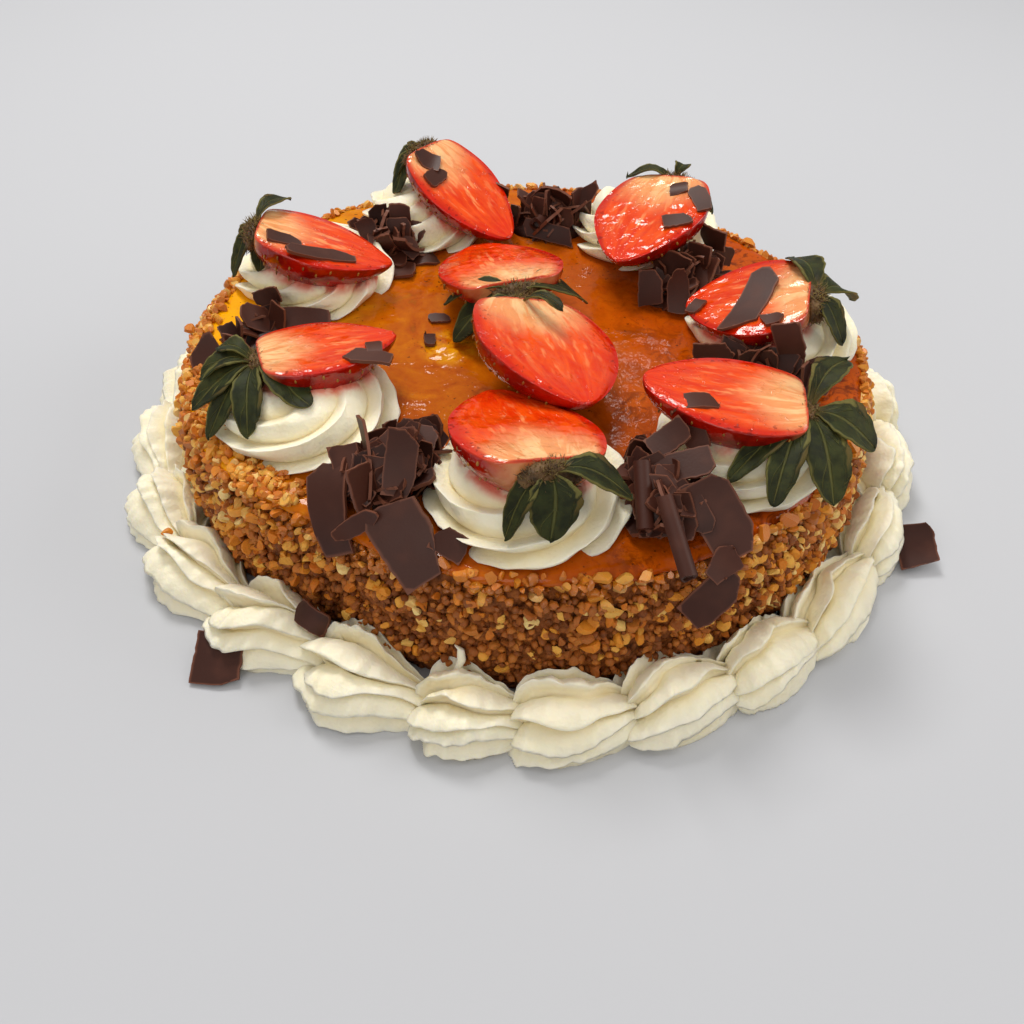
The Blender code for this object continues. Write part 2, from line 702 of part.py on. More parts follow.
def make_heap(name, material, parts, cutters, others):
    """A heap of shavings fused on a low core: the large ones in their places, then loose ones on top."""
    *_, loose = HEAPS[name]
    rng = random.Random(f"{SEED} {name}")
    heap = make_core(name, material, parts, cutters)
    placed = [tree_of(heap)]
    for *values, length, width in SHAVINGS[name]:
        found = settled(values, (length * MM, width * MM), rng, others)
        if found:
            placed.append(tree_of(add_object("shaving", found[0], material, cutters, found[1])))
    for ends in ROLLS.get(name, ()):
        placed += add_roll(ends, material, cutters, others)
    full = len(placed) + loose
    for _ in range(TRIES * loose):
        lengths = rng.uniform(*LOOSE_LENGTH), rng.uniform(*LOOSE_WIDTH)
        found = settled(loose_place(name, rng), lengths, rng, others)
        if not found:
            continue
        shape, place = found
        if is_clear(shape, place, placed):
            shape.free()
            continue
        placed.append(tree_of(add_object("shaving", shape, material, cutters, place)))
        if len(placed) == full:
            break
    combine(heap, cutters, "UNION", "MANIFOLD")
    return heap


def shell_shape(start, end, rng):
    """One piped shell of the border: a blunt head at its start, ridges along it and a narrow tail."""
    shape = bmesh.new()
    rings = len(SHELL_ALONG) - 1
    bmesh.ops.create_uvsphere(shape, u_segments=16, v_segments=rings, radius=1)
    bmesh.ops.rotate(shape, matrix=Matrix.Rotation(math.pi / 2, 3, "Y"), verts=shape.verts)
    everything = shape.verts[:] + shape.edges[:] + shape.faces[:]
    bmesh.ops.bisect_plane(shape, geom=everything, plane_co=(0, 0, 0), plane_no=(0, 0, -1), clear_outer=True)
    bmesh.ops.holes_fill(shape, edges=[edge for edge in shape.edges if edge.is_boundary])
    size = rng.uniform(0.94, 1.05)
    for vert in shape.verts:
        ring = round(math.acos(max(-1, min(1, -vert.co.x))) / math.pi * rings)
        azimuth = start + (end - start) * SHELL_ALONG[ring]
        reach = SHELL_REACH + SHELL_SPREAD * math.cos(azimuth - math.radians(SPREAD_AZIMUTH))
        radius = math.hypot(vert.co.y, vert.co.z)
        angle = math.atan2(vert.co.z, vert.co.y) if radius > 0.01 else math.pi / 2
        step = round(angle / (math.pi / 8))
        swell = SHELL_SWELL[ring] * size * (1 if step % 2 else GROOVE)
        outward = reach - SHELL_MIDDLE if angle < math.pi / 2 else 13 * MM
        height = SHELL_HEIGHT * swell * math.sin(angle)
        out = SHELL_MIDDLE + outward * swell * math.cos(angle)
        out = max(out + bulge(azimuth), wall_radius(azimuth, height) + 2 * GAP)
        vert.co = polar(out, azimuth, height)
    return shape


def make_border(materials, parts, cutters):
    rng = random.Random(SEED)
    starts = list(SHELL_STARTS[:-1])
    behind = (SHELL_STARTS[0] + 360 - SHELL_STARTS[-1]) / SHELLS_BEHIND
    starts += [SHELL_STARTS[-1] + behind * number for number in range(SHELLS_BEHIND)]
    starts.append(SHELL_STARTS[0] + 360)
    half_gap = GAP / SHELL_MIDDLE
    for number, (start, end) in enumerate(zip(starts, starts[1:]), 1):
        name = f"cream_shell_{number:02d}"
        shape = shell_shape(math.radians(start) + half_gap, math.radians(end) - half_gap, rng)
        shell = add_object(name, shape, materials["cream"], parts)
        for x, y, z, *angles, length, width in SHELL_FLAKES.get(name, ()):
            flake = shaving_shape(length * MM, width * MM, rng)
            add_object("flake", flake, materials["chocolate"], cutters, axes((x, y, z), *angles))
        combine(shell, cutters, "UNION")


def main():
    clear_scene()
    materials = {name: make_material(name) for name in PRINCIPLED}
    parts = make_collection("egg_yolk_and_cream_cake")
    cutters = make_collection("cutters")
    layers = [make_sponge(materials["chopped_nuts"], parts, cutters), make_yolk(materials["egg_yolk"], parts)]
    berries = [make_berry(name, materials, parts, cutters) for name in BERRIES]
    rosettes = [make_rosette(name, materials["cream"], parts, cutters) for name in ROSETTES]
    supports = [tree_of(obj) for obj in layers + rosettes]
    calyces = [make_calyx(name, materials["leaf"], parts, cutters, supports) for name in BERRIES]
    trees = [tree_of(obj) for obj in layers + berries + rosettes + calyces]
    for name in HEAPS:
        trees.append(tree_of(make_heap(name, materials["chocolate"], parts, cutters, trees)))
    make_border(materials, parts, cutters)


main()
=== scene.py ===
"""Looks for the egg yolk and cream cake. Shapes are made in millimetres and stored in metres."""

import math
import random

import bmesh
import bpy
import numpy as np
from mathutils import Matrix, Vector
from mathutils.bvhtree import BVHTree
from mathutils.noise import noise


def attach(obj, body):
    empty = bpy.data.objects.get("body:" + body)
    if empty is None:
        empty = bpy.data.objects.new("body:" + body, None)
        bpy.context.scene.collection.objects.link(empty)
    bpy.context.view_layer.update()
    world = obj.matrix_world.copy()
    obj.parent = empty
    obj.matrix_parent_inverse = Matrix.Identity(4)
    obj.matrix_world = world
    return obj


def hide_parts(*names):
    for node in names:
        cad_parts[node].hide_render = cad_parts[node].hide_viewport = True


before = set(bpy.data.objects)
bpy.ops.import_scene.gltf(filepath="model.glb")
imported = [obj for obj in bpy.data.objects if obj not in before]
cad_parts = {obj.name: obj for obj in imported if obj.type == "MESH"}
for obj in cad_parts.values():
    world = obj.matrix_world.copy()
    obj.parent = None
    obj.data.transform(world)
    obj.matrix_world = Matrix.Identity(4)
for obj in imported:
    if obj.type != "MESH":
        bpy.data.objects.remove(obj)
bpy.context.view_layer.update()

SEED = 11
TAU = math.tau
TO_METRES = Matrix.Scale(0.001, 4)
UP = Vector((0, 0, 1))

YOLK_TOP = 44
WALL = ((0, 113), (20, 113.2), (38, 110.4), (40, 108.8))

# The cake isn't quite round: (azimuth, swelling at the foot, swelling at the top), even out to the next
SWELLINGS = (
    (0, 0, -3), (10, -1, -5), (20, -3, -9), (36, -9, -13.5), (60, -13, -16), (93, -14, -16.5),
    (110, -13, -15.5), (125, -11, -12), (140, -6, -6), (155, -2.5, -2.5), (175, -0.5, -0.5),
    (190, 1.2, 2.7), (208, 3, 5.4), (220, 2, 4), (230, -1, 1.1), (241, -5, -3.5),
    (252, -2, -1.4), (266, 0, 0), (325, -0.6, -0.6), (342, -2, -2), (352, -1, -2.5), (360, 0, -3),
)

# Rosettes: middle, radius, height and turn in degrees
ROSETTES = {
    "front": (1, -77, 26, 16, 10),
    "left_front": (-65, -48, 25, 15, 35),
    "left_back": (-76, 22, 25, 15, 0),
    "back_left": (-41, 62, 23, 15, 20),
    "back_right": (38, 58, 25, 16, 45),
    "right_back": (76, 0, 25, 15, 15),
    "right_front": (61, -55, 24, 15, 30),
}

# Strawberry halves: middle of the cut face, heading, fall and roll, (length, width, depth), bluntness
BERRIES = {
    "front": ((-2, -68, 62), 112, 16, 10, (45, 40, 14), 0.55),
    "right_front": ((53, -51, 62), 173, -3, 7, (45, 36, 14), 0.52),
    "right_back": ((65, -3, 60), 167, 19, -5, (38, 36, 13), 0.58),
    "back_right": ((35, 37, 63), -114, 10, 11, (47, 38, 14), 0.65),
    "back_left": ((-26, 53, 61), -39, 26, -2, (45, 31, 13), 0.62),
    "left_back": ((-69, 16, 61), 1, 18, -6, (44, 33, 14), 0.65),
    "left_front": ((-59, -36, 60), 21, 2, -11, (40, 33, 13), 0.65),
    "centre_back": ((-14, 17, 56), 109, 16, -1, (45, 40, 12), 0.55),
    "centre_front": ((6, -36, 62), -67, 4, -18, (47, 44, 15), 0.6),
}
# Where along a berry it is widest, and how full it is at its leaves
WIDEST = 0.72
SHOULDERS = 0.4

# Flakes on the berries: place on the cut face, turn, length and width
BERRY_FLAKES = {
    "back_left": ((-17, -5, 30, 8, 6), (-10, -8, 100, 9, 5)),
    "back_right": ((-11, 16, 38, 12, 5), (1, 12, 117, 8, 5), (-16, 6, 20, 6, 5)),
    "right_back": ((-2, 4, 72, 24, 8), (-9, 13, 10, 6, 4), (15, 3, 60, 5, 4)),
    "right_front": ((7, 8, 17, 13, 6),),
    "left_back": ((-13, -7, 15, 9, 5), (-1, -10, 24, 19, 5)),
    "left_front": ((9, -12, -22, 12, 6), (12, -7, 86, 11, 4)),
}

# Leaves under each berry: tip and width
LEAVES = {
    "front": (((-4, -101, 53), 6), ((7, -101, 53), 11), ((27, -89, 57), 9)),
    "right_front": (
        ((88, -38, 64), 7), ((93, -64, 55), 11), ((80, -82, 51), 9), ((64, -84, 52), 7), ((53, -77, 53), 6),
    ),
    "right_back": (((82, 17, 62), 9), ((98, 2, 58), 10), ((94, -15, 53), 8)),
    "back_right": (((49, 64, 68), 5), ((59, 49, 59), 5), ((30, 66, 62), 5)),
    "back_left": (((-53, 58, 54), 6), ((-54, 64, 58), 7), ((-46, 78, 60), 6)),
    "left_back": (((-90, 8, 54), 5), ((-99, 7, 53), 5), ((-98, 22, 56), 5), ((-84, 34, 66), 5)),
    "left_front": (
        ((-90, -40, 60), 6), ((-93, -50, 57), 7), ((-94, -58, 52), 8), ((-88, -66, 49), 6),
        ((-76, -68, 52), 7), ((-60, -60, 54), 8),
    ),
    "centre_back": (((-29, -2, 52), 6), ((-25, -13, 46), 11), ((16, 8, 48), 11)),
    "centre_front": (((8, -25, 68), 4), ((-16, -22, 62), 5)),
}
# How much wider than that the leaves are; one berry's are wider still
LEAF_FULLNESS = {"right_front": 1.4}
COMMON_FULLNESS = 1.25
# Where a leaf is kept off what is under it, round each of its points
LEAF_FOOTPRINT = ((0, 0), (1.2, 0), (-1.2, 0), (0, -1.2))
# Half sizes of a calyx's hub, bare for its place and with its fur
HUB_SIZE = (2.6, 6, 4.5)
HUB_FUR = (3.2, 8, 4.6)

# Numbers of brown crumbs on the wall, of nuts on it, of nuts along its upper edge, and of hairs round a calyx
CRUMBS, WALL_NUTS, RIM_NUTS, HAIRS = 6800, 2600, 1200, 340

# Azimuths of larger nuts that lie loose on the rim
LOOSE_NUTS = (36, 42, 93, 186, 217, 226, 262, 266, 281, 284, 287, 306, 311, 331)

# Azimuths between which chocolate lies on the upper edge, so that no nuts do
UNDER_CHOCOLATE = ((234, 259), (291, 301))

# How far the nuts at the upper edge lie in over the yolk: (azimuth, millimetres)
NUT_COVER = (
    (0, 1), (20, 2), (160, 2), (172, 4), (191, 6), (208, 10), (230, 10), (245, 5), (264, 3), (275, 2),
    (300, 0.5), (322, 1), (336, 0), (353, 2), (360, 1),
)

# Chocolate heaps: middle, half sizes, heading, height and the number of small shavings
HEAPS = {
    "front_left": ((-37, -77), (22, 9), -117, 9, 90),
    "front_right": ((37, -82), (20, 9), -66, 9, 64),
    "right": ((70, -27), (16, 5), -16, 8, 34),
    "right_back": ((50, 24), (15, 8), 35, 9, 60),
    "back": ((2, 60), (15, 8), 0, 8, 50),
    "left_back": ((-54, 39), (10, 7), -16, 8, 50),
    "left": ((-87, -13), (19, 8), -100, 7, 16),
}

# Large shavings: middle, heading, fall and roll of the long side, then length and width
SHAVINGS = {
    "front_left": (
        (-52, -88, 48, -79, 33, 29, 25, 12), (-29, -99, 48, -45, 33, 39, 22, 15),
        (-18, -99, 48, -19, 22, 33, 9, 7), (-32, -82, 59, -100, 55, -11, 17, 8),
        (-47, -78, 54, -65, 24, 23, 15, 8), (-42, -95, 49, -169, 29, -62, 13, 5),
        (-42, -77, 56, -77, 28, 80, 24, 6),
    ),
    "front_right": (
        (50, -90, 53, -55, 31, 28, 21, 12), (49, -105, 39, -146, 34, -40, 16, 9),
        (51, -101, 48, -142, 28, -29, 10, 8), (37, -69, 60, -151, 29, -12, 11, 7),
        (40, -77, 58, -173, 19, -18, 16, 8), (44, -66, 60, -66, 26, 45, 10, 7),
    ),
    "right": (
        (75, -27, 60, -33, 60, 77, 15, 8), (54, -24, 54, 171, 11, -76, 12, 6),
        (67, -27, 54, 159, 16, -82, 11, 7), (85, -31, 53, -89, 47, 19, 11, 7),
    ),
    "right_back": (
        (43, 21, 56, 151, 2, -80, 14, 8), (37, 12, 51, -81, 60, 32, 13, 8),
        (46, 11, 52, -72, 65, 20, 14, 7), (58, 33, 59, -44, 0, -79, 10, 8),
        (53, 24, 57, 134, 11, -79, 9, 8), (62, 32, 53, 12, 17, 72, 9, 6),
    ),
    "back": (
        (3, 62, 57, 1, 12, -61, 14, 8), (2, 51, 48, -11, 6, 64, 23, 6),
        (-15, 63, 56, 134, 63, 63, 10, 7), (12, 61, 55, 173, 38, -52, 19, 5),
    ),
    "left_back": (
        (-50, 43, 52, -50, 39, 52, 15, 8), (-49, 33, 47, -90, 11, -2, 10, 6),
        (-40, 35, 45.5, 12, 0, 4, 12, 6), (-46, 27, 45.5, -84, 0, 4, 8, 7),
        (-44, 42, 51, -148, 59, -39, 10, 6),
    ),
    "left": (
        (-31.4, 0.6, 45.2, 10, 2, 3, 7, 4), (-33, -11.3, 45.6, 100, 4, 8, 6, 3.5),
        (-80, -10, 49, -170, 6, -34, 28, 8), (-97, -34, 46, -73, 16, 20, 23, 11),
        (-84, -6, 55, 171, 21, -80, 9, 5),
    ),
}

# Rolled shavings: one end and the other
ROLLS = {
    "front_right": (((35, -89, 58), (41, -108, 50)), ((30, -77, 58), (31, -94, 51))),
    "back": (((-2, 50, 51), (2, 58, 50)),),
}
ROLL_RADIUS = 2.6
# What a point of a shaving carries: its tone, and whether it is on a side face along a broken edge, which is coloured
# lighter
SHAVED = ("tone", "side_face")

# Border: where each shell that shows starts and the last one ends, the number behind, and the section, which reaches
# further out towards one azimuth
SHELL_STARTS = (173, 187, 201, 213, 228, 243, 259, 271, 285, 299, 313, 330, 345, 361, 375, 389)
SHELLS_BEHIND = 9
SHELL_HEIGHT = 18
SHELL_MIDDLE = 122.5
SHELL_REACH = 133
SHELL_SPREAD = 4
SPREAD_AZIMUTH = 250
SHELL_INWARD = 15
# How far the border is drawn in: (azimuth, millimetres)
BORDER_INSET = ((0, 1), (170, -0.3), (250, -0.7), (262, 2), (325, 2), (345, 1), (360, 1))

# How much the shells fan out towards their heads, from the first on, and what the rest of them do
SHELL_FANS = (1, 1, 1, 1, 1, 1, 0.6, 0.3, 0.3, 0.3, 0.4, 0.5, 0.5)
COMMON_FAN = 0.4

# Shavings stuck to the border: shell, then middle, heading, fall and roll, length and width
SHELL_FLAKES = {
    5: ((-84, -108, 4.4, -92, 25, 4, 15, 14), (-58, -101, 16, -31, 8, 52, 11, 7)),
    12: ((123, -54, 5, -82, 25, 12, 15, 12),),
}

# The camera's sensor in millimetres, and its focal length in pixels of the picture
SENSOR_WIDTH, FOCAL_PIXELS, PICTURE_PIXELS = 36, 950, 1024


def colour(code):
    """Linear colour, with alpha, of a six-digit screen colour."""
    parts = [int(code[place:place + 2], 16) / 255 for place in (0, 2, 4)]
    return tuple(part / 12.92 if part < 0.04 else ((part + 0.055) / 1.055) ** 2.4 for part in parts) + (1,)


class Wire:
    """A shader socket that can be used in sums."""

    def __init__(self, finish, socket):
        self.finish = finish
        self.socket = socket

    def maths(self, operation, *others):
        return self.finish.node("ShaderNodeMath", dict(enumerate(others)), operation=operation)

    def __add__(self, other):
        return self.maths("ADD", self, other)

    def __radd__(self, other):
        return self.maths("ADD", other, self)

    def __sub__(self, other):
        return self.maths("SUBTRACT", self, other)

    def __rsub__(self, other):
        return self.maths("SUBTRACT", other, self)

    def __mul__(self, other):
        return self.maths("MULTIPLY", self, other)

    def __rmul__(self, other):
        return self.maths("MULTIPLY", other, self)

    def __pow__(self, other):
        return self.maths("POWER", self, other)

    def __abs__(self):
        return self.maths("ABSOLUTE", self)

    def step(self, low, high):
        """0 below low, 1 above high, smooth between; low may be the larger."""
        inputs = {"Value": self, "From Min": low, "From Max": high}
        return self.finish.node("ShaderNodeMapRange", inputs, interpolation_type="SMOOTHSTEP")


class Finish:
    """One material."""

    def __init__(self, name, **fixed):
        self.material = bpy.data.materials.new(name)
        self.material.use_nodes = True
        self.tree = self.material.node_tree
        self.shader = self.tree.nodes["Principled BSDF"]
        for socket, value in fixed.items():
            self.shader.inputs[socket.replace("_", " ")].default_value = value
        self.place = self.node("ShaderNodeTexCoord", output=3)

    def node(self, kind, inputs=None, output=0, stops=None, **settings):
        """Adds a node, with its settings, then the values or links of its sockets; colours go in by their codes."""
        node = self.tree.nodes.new(kind)
        for name, value in settings.items():
            setattr(node, name, value)
        for number, (position, shade) in enumerate(stops or ()):
            elements = node.color_ramp.elements
            element = elements[number] if number < 2 else elements.new(position)
            element.position = position
            element.color = colour(shade)
        for name, value in (inputs or {}).items():
            if isinstance(value, Wire):
                self.tree.links.new(value.socket, node.inputs[name])
            else:
                node.inputs[name].default_value = colour(value) if isinstance(value, str) else value
        return Wire(self, node.outputs[output])

    def grain(self, scale, detail=2, rough=0.5, distortion=0, place=None):
        """Noise between 0 and 1, with features of 1 / scale metres."""
        inputs = {
            "Vector": place or self.place, "Scale": scale, "Detail": detail, "Roughness": rough,
            "Distortion": distortion,
        }
        return self.node("ShaderNodeTexNoise", inputs)

    def cells(self, scale):
        """Distance from the nearest of many random points."""
        return self.node("ShaderNodeTexVoronoi", {"Vector": self.place, "Scale": scale})

    def value(self, name):
        """A number that the mesh carries at each point."""
        return self.node("ShaderNodeAttribute", output=2, attribute_name=name)

    def axis(self, number):
        return self.node("ShaderNodeSeparateXYZ", {"Vector": self.place}, output=number)

    def vector(self, *parts):
        return self.node("ShaderNodeCombineXYZ", dict(enumerate(parts)))

    def mix(self, factor, first, second):
        """Two colours mixed; the factor is how much of the second."""
        return self.node("ShaderNodeMix", {0: factor, 6: first, 7: second}, output=2, data_type="RGBA")

    def over(self, base, *layers):
        """A colour with others laid over it in turn: each is (how much of it, which colour)."""
        for share, shade in layers:
            base = self.mix(share, base, shade)
        return base

    def ramp(self, factor, *stops):
        return self.node("ShaderNodeValToRGB", {0: factor}, stops=stops)

    def feed(self, **inputs):
        for name, wire in inputs.items():
            self.tree.links.new(wire.socket, self.shader.inputs[name.replace("_", " ")])

    def bump(self, height, distance, strength=1):
        inputs = {"Strength": strength, "Distance": distance, "Height": height}
        self.feed(Normal=self.node("ShaderNodeBump", inputs))


def cream_finish():
    finish = Finish(
        "whipped_cream", Roughness=0.5, Specular_IOR_Level=0.35, Subsurface_Weight=0.3, Subsurface_Scale=0.003,
        Subsurface_Radius=(1, 0.8, 0.45),
    )
    # Painted shade: the grooves between the piped ridges are tinted a darker yellow (E8D6A2), mixed with some random
    # mottling of the same colour
    tint = finish.grain(70, 3).step(0.5, 0.8) * 0.35 + finish.value("groove_shade") * 0.65
    base = finish.mix(tint, "F5EFD8", "E8D6A2")
    stain = finish.value("stain") * finish.grain(160, 3).step(0.3, 0.6)
    finish.feed(Base_Color=finish.mix(stain, base, "DB6A54"))
    finish.bump(finish.grain(330, 4, 0.6) + finish.cells(900) * 0.25, 0.0007, 0.6)
    return finish.material


def nut_finish():
    finish = Finish(
        "chopped_nuts", Specular_IOR_Level=0.3, Subsurface_Weight=0.12, Subsurface_Scale=0.002, Coat_Roughness=0.2,
    )
    base = finish.ramp(
        finish.value("tone"), (0, "643210"), (0.3, "9C5824"), (0.5, "BC722C"), (0.62, "C96E1C"), (0.74, "DC8E28"),
        (0.86, "EAB250"), (1, "F2D690"),
    )
    wet = finish.value("wet")
    base = finish.over(base, (finish.grain(500, 3).step(0.4, 0.75) * 0.35, "B0611C"), (wet * 0.45, "C8721A"))
    finish.feed(Base_Color=base, Roughness=0.55 - wet * 0.35, Coat_Weight=wet * 0.7)
    finish.bump(finish.grain(1500, 4, 0.65), 0.0004, 0.6)
    return finish.material


def crumb_finish():
    """The brown crumble of fine nut and caramel between the larger pieces."""
    finish = Finish("caramel_crumb", Roughness=0.6, Specular_IOR_Level=0.25)
    shade = finish.grain(260, 4, 0.6)
    finish.feed(Base_Color=finish.ramp(shade, (0.3, "54290E"), (0.5, "925224"), (0.7, "BA6E34")))
    finish.bump(finish.cells(420) * -1 + finish.grain(900, 3) * 0.5, 0.0015)
    return finish.material


def yolk_finish():
    finish = Finish(
        "egg_yolk_glaze", Specular_IOR_Level=0.22, Subsurface_Weight=0.1, Subsurface_Scale=0.002,
        Subsurface_Radius=(1, 0.5, 0.1),
    )
    east, north = finish.axis(0), finish.axis(1)
    streak = finish.grain(42, 5, 0.62, 1.4)
    fine = finish.grain(190, 4, 0.6, 0.6)
    base = finish.ramp(
        streak * 0.7 + fine * 0.3, (0.32, "7E3204"), (0.45, "AE5006"), (0.57, "BC6206"), (0.72, "D8860C"),
    )
    # The left side is golden yellow (EEA212): partly the yolk's own colour, partly painted light, made brighter for
    # the light that falls there
    golden_and_painted_light = (east + (streak - 0.5) * 0.1).step(-0.045, -0.085)
    red = (east + (streak - 0.5) * 0.14).step(-0.035, 0.05)
    burnt = (east + (streak - 0.5) * 0.12).step(0.0, 0.07) * finish.grain(130, 5, 0.75, 1).step(0.45, 0.6)
    puddle = ((east + 0.027) * (east + 0.027) + (north + 0.014) * (north + 0.014)).step(0.00012, 0.00002)
    # Painted light: the far left edge of the yolk is laid over with a bright yellow (F2A806) that stands for the
    # light falling there
    painted_sunlight = (east + (fine - 0.5) * 0.03).step(-0.074, -0.094)
    speck = finish.grain(650, 2).step(0.66, 0.72) * finish.grain(60, 2).step(0.42, 0.55)
    base = finish.over(
        base, (golden_and_painted_light * 0.7, "EEA212"), (red * 0.75, "B04405"), (burnt * 0.85, "5E2005"),
        (puddle * fine.step(0.35, 0.65) * 0.8, "E29A10"), (painted_sunlight, "F2A806"), (speck * 0.8, "4A2006"),
    )
    finish.feed(Base_Color=base, Roughness=0.05 + fine * 0.05)
    finish.bump(finish.grain(120, 3) + finish.grain(420, 3) * 0.25, 0.0006, 0.8)
    return finish.material


def berry_finish():
    """Cut flesh above and seeded skin below; the mesh says which, and where in the berry a point is."""
    finish = Finish(
        "strawberry", Specular_IOR_Level=0.5, Subsurface_Weight=0.12, Subsurface_Scale=0.003,
        Subsurface_Radius=(1, 0.35, 0.15),
    )
    along = finish.value("along")
    across = finish.value("across")
    edge = finish.value("edge")
    fan = finish.vector(along * 1.3 - abs(across) * 0.8, across * 3.2, finish.value("number"))
    fibre = finish.grain(1.5, 4, 0.55, 0.6, fan)
    blotch = finish.grain(150, 3)
    flesh = finish.mix(fibre.step(0.3, 0.7), "D22E02", "E6500E")
    pale = (along + edge * 0.5 + (fibre - 0.5) * 1.1).step(0.1, -0.7)
    streak = finish.grain(2.4, 2, 0.5, 0, fan).step(0.52, 0.7) * (1 - edge) * along.step(0.7, 0.1)
    rim = (edge + blotch * 0.12).step(0.84, 1.02)
    pit = finish.grain(620, 2).step(0.6, 0.68) * (edge + blotch * 0.2).step(0.8, 0.95)
    flesh = finish.over(
        flesh, (along.step(0.3, 1) * 0.6, "D42202"), (pale * 0.85, "E6A066"),
        (pale * fibre.step(0.42, 0.58) * 0.7, "F2D29A"), (streak * 0.7, "F3A266"), (rim * 0.85, "BE1002"),
        (pit * 0.6, "6E0A02"),
    )
    skin = finish.mix(blotch.step(0.3, 0.7), "7A0802", "B41402")
    skin = finish.mix((along + blotch * 0.4).step(-0.6, -0.95) * 0.8, skin, "EEA468")
    base = finish.mix(finish.value("cut"), skin, flesh)
    finish.feed(Base_Color=base, Roughness=0.06 + blotch * 0.08)
    drops = finish.grain(380, 2, 0.5, 0.8).step(0.56, 0.68) * finish.grain(75, 2).step(0.44, 0.58)
    ripple = finish.grain(90, 2) * 2 + finish.grain(260, 2, 0.5, 0.6) * 0.3
    finish.bump(ripple + fibre * 0.2 + drops * 0.14, 0.0013, 0.8)
    return finish.material


def seed_finish():
    finish = Finish("strawberry_seed", Roughness=0.35)
    finish.feed(Base_Color=finish.ramp(finish.value("tone"), (0, "7E4A16"), (1, "B07A2C")))
    return finish.material


def leaf_finish():
    finish = Finish("strawberry_leaf", Specular_IOR_Level=0.2, Subsurface_Weight=0.05)
    along = finish.value("along")
    across = finish.value("across")
    side = abs(across)
    cloud = finish.grain(260, 3)
    base = finish.mix(cloud.step(0.3, 0.7), "181D0B", "2E3417")
    vein = finish.grain(1, 2, 0.5, 0, finish.vector(along * 14 - side * 6, across * 0.6, 0.0)).step(0.58, 0.7)
    rib = side.step(0.12, 0.03)
    rim = (side + cloud * 0.1).step(0.88, 1.02)
    base = finish.over(
        base, (vein * 0.35, "565A2C"), (rib * 0.35, "6E6E3A"), (rim * 0.5, "80783E"),
        (along.step(0.25, 0) * 0.7, "5A4A22"),
    )
    finish.feed(Base_Color=base, Roughness=0.5 + cloud * 0.2)
    finish.bump(vein * 0.6 - rib + finish.grain(700, 3) * 0.4, 0.0004)
    return finish.material


def hair_finish():
    finish = Finish("calyx_hair", Roughness=0.6, Subsurface_Weight=0.1)
    shade = finish.grain(300, 3)
    finish.feed(Base_Color=finish.ramp(shade, (0.3, "34240E"), (0.6, "624420"), (0.8, "8A6A3C")))
    finish.bump(finish.grain(1300, 3), 0.0004)
    return finish.material


def chocolate_finish():
    finish = Finish("shaved_chocolate", Specular_IOR_Level=0.3)
    side_face = finish.value("side_face").step(0.6, 1)
    cloud = finish.grain(110, 2, 0.5)
    base = finish.mix(finish.value("tone"), "280F09", "482419")
    # The side faces of the shavings are coloured lighter (7E4C38)
    base = finish.over(base, (cloud.step(0.45, 0.75) * 0.25, "603526"), (side_face * 0.6, "7E4C38"))
    finish.feed(Base_Color=base, Roughness=0.42 + cloud * 0.15)
    finish.bump(finish.grain(1400, 3) * 0.5 + cloud, 0.00012, 0.5)
    return finish.material


def backdrop_finish():
    finish = Finish("pale_floor", Roughness=0.9)
    finish.feed(Base_Color=finish.mix(finish.grain(3, 2), "B9BCC3", "BBBEC5"))
    return finish.material


FINISHES = {
    "cream": cream_finish(), "nut": nut_finish(), "crumb": crumb_finish(), "yolk": yolk_finish(),
    "berry": berry_finish(), "seed": seed_finish(), "leaf": leaf_finish(), "hair": hair_finish(),
    "chocolate": chocolate_finish(), "backdrop": backdrop_finish(),
}


def axes(middle, heading, fall, roll):
    """A frame whose X falls away from the horizontal at a heading, and whose Z is up before the roll."""
    turn = Matrix.Rotation(math.radians(heading), 4, "Z")
    tip = Matrix.Rotation(math.radians(fall), 4, "Y")
    lean = Matrix.Rotation(math.radians(roll), 4, "X")
    return Matrix.Translation(Vector(middle)) @ turn @ tip @ lean


def polar(radius, azimuth, height):
    return Vector((radius * math.cos(azimuth), radius * math.sin(azimuth), height))


def blend_to(low, high, value):
    """0 below low, 1 above high, smooth between."""
    share = min(1, max(0, (value - low) / (high - low)))
    return share * share * (3 - 2 * share)


def curve(points, value):
    """Height at a value of the line through (value, height) points."""
    return float(np.interp(value, *zip(*points)))


def bulge(azimuth, height=0):
    degrees = math.degrees(azimuth) % 360
    rise = min(1, max(0, height / 40))
    for (low, *before), (high, *after) in zip(SWELLINGS, SWELLINGS[1:]):
        if degrees <= high:
            share = blend_to(low, high, degrees)
            foot, top = (one + (other - one) * share for one, other in zip(before, after))
            return foot + (top - foot) * rise
    return 0


def wall_radius(azimuth, height):
    return curve(WALL, height) + bulge(azimuth, height)


def random_way(rng, middle=(0, 0, 0)):
    """A unit vector any way, or mostly to the side of the middle."""
    return Vector([rng.gauss(part, 1) for part in middle]).normalized()


def random_turn(rng):
    axis = random_way(rng)
    return Matrix.Rotation(rng.uniform(0, TAU), 4, axis)


def aimed(way, front="Z", top="X"):
    """The turn that points the front axis along a way."""
    return way.to_track_quat(front, top).to_matrix().to_4x4()


def cut_off(shape, way, spot):
    """Takes off what lies past a spot, along a way."""
    everything = shape.verts[:] + shape.edges[:] + shape.faces[:]
    bmesh.ops.bisect_plane(shape, geom=everything, plane_co=spot, plane_no=way, clear_outer=True)


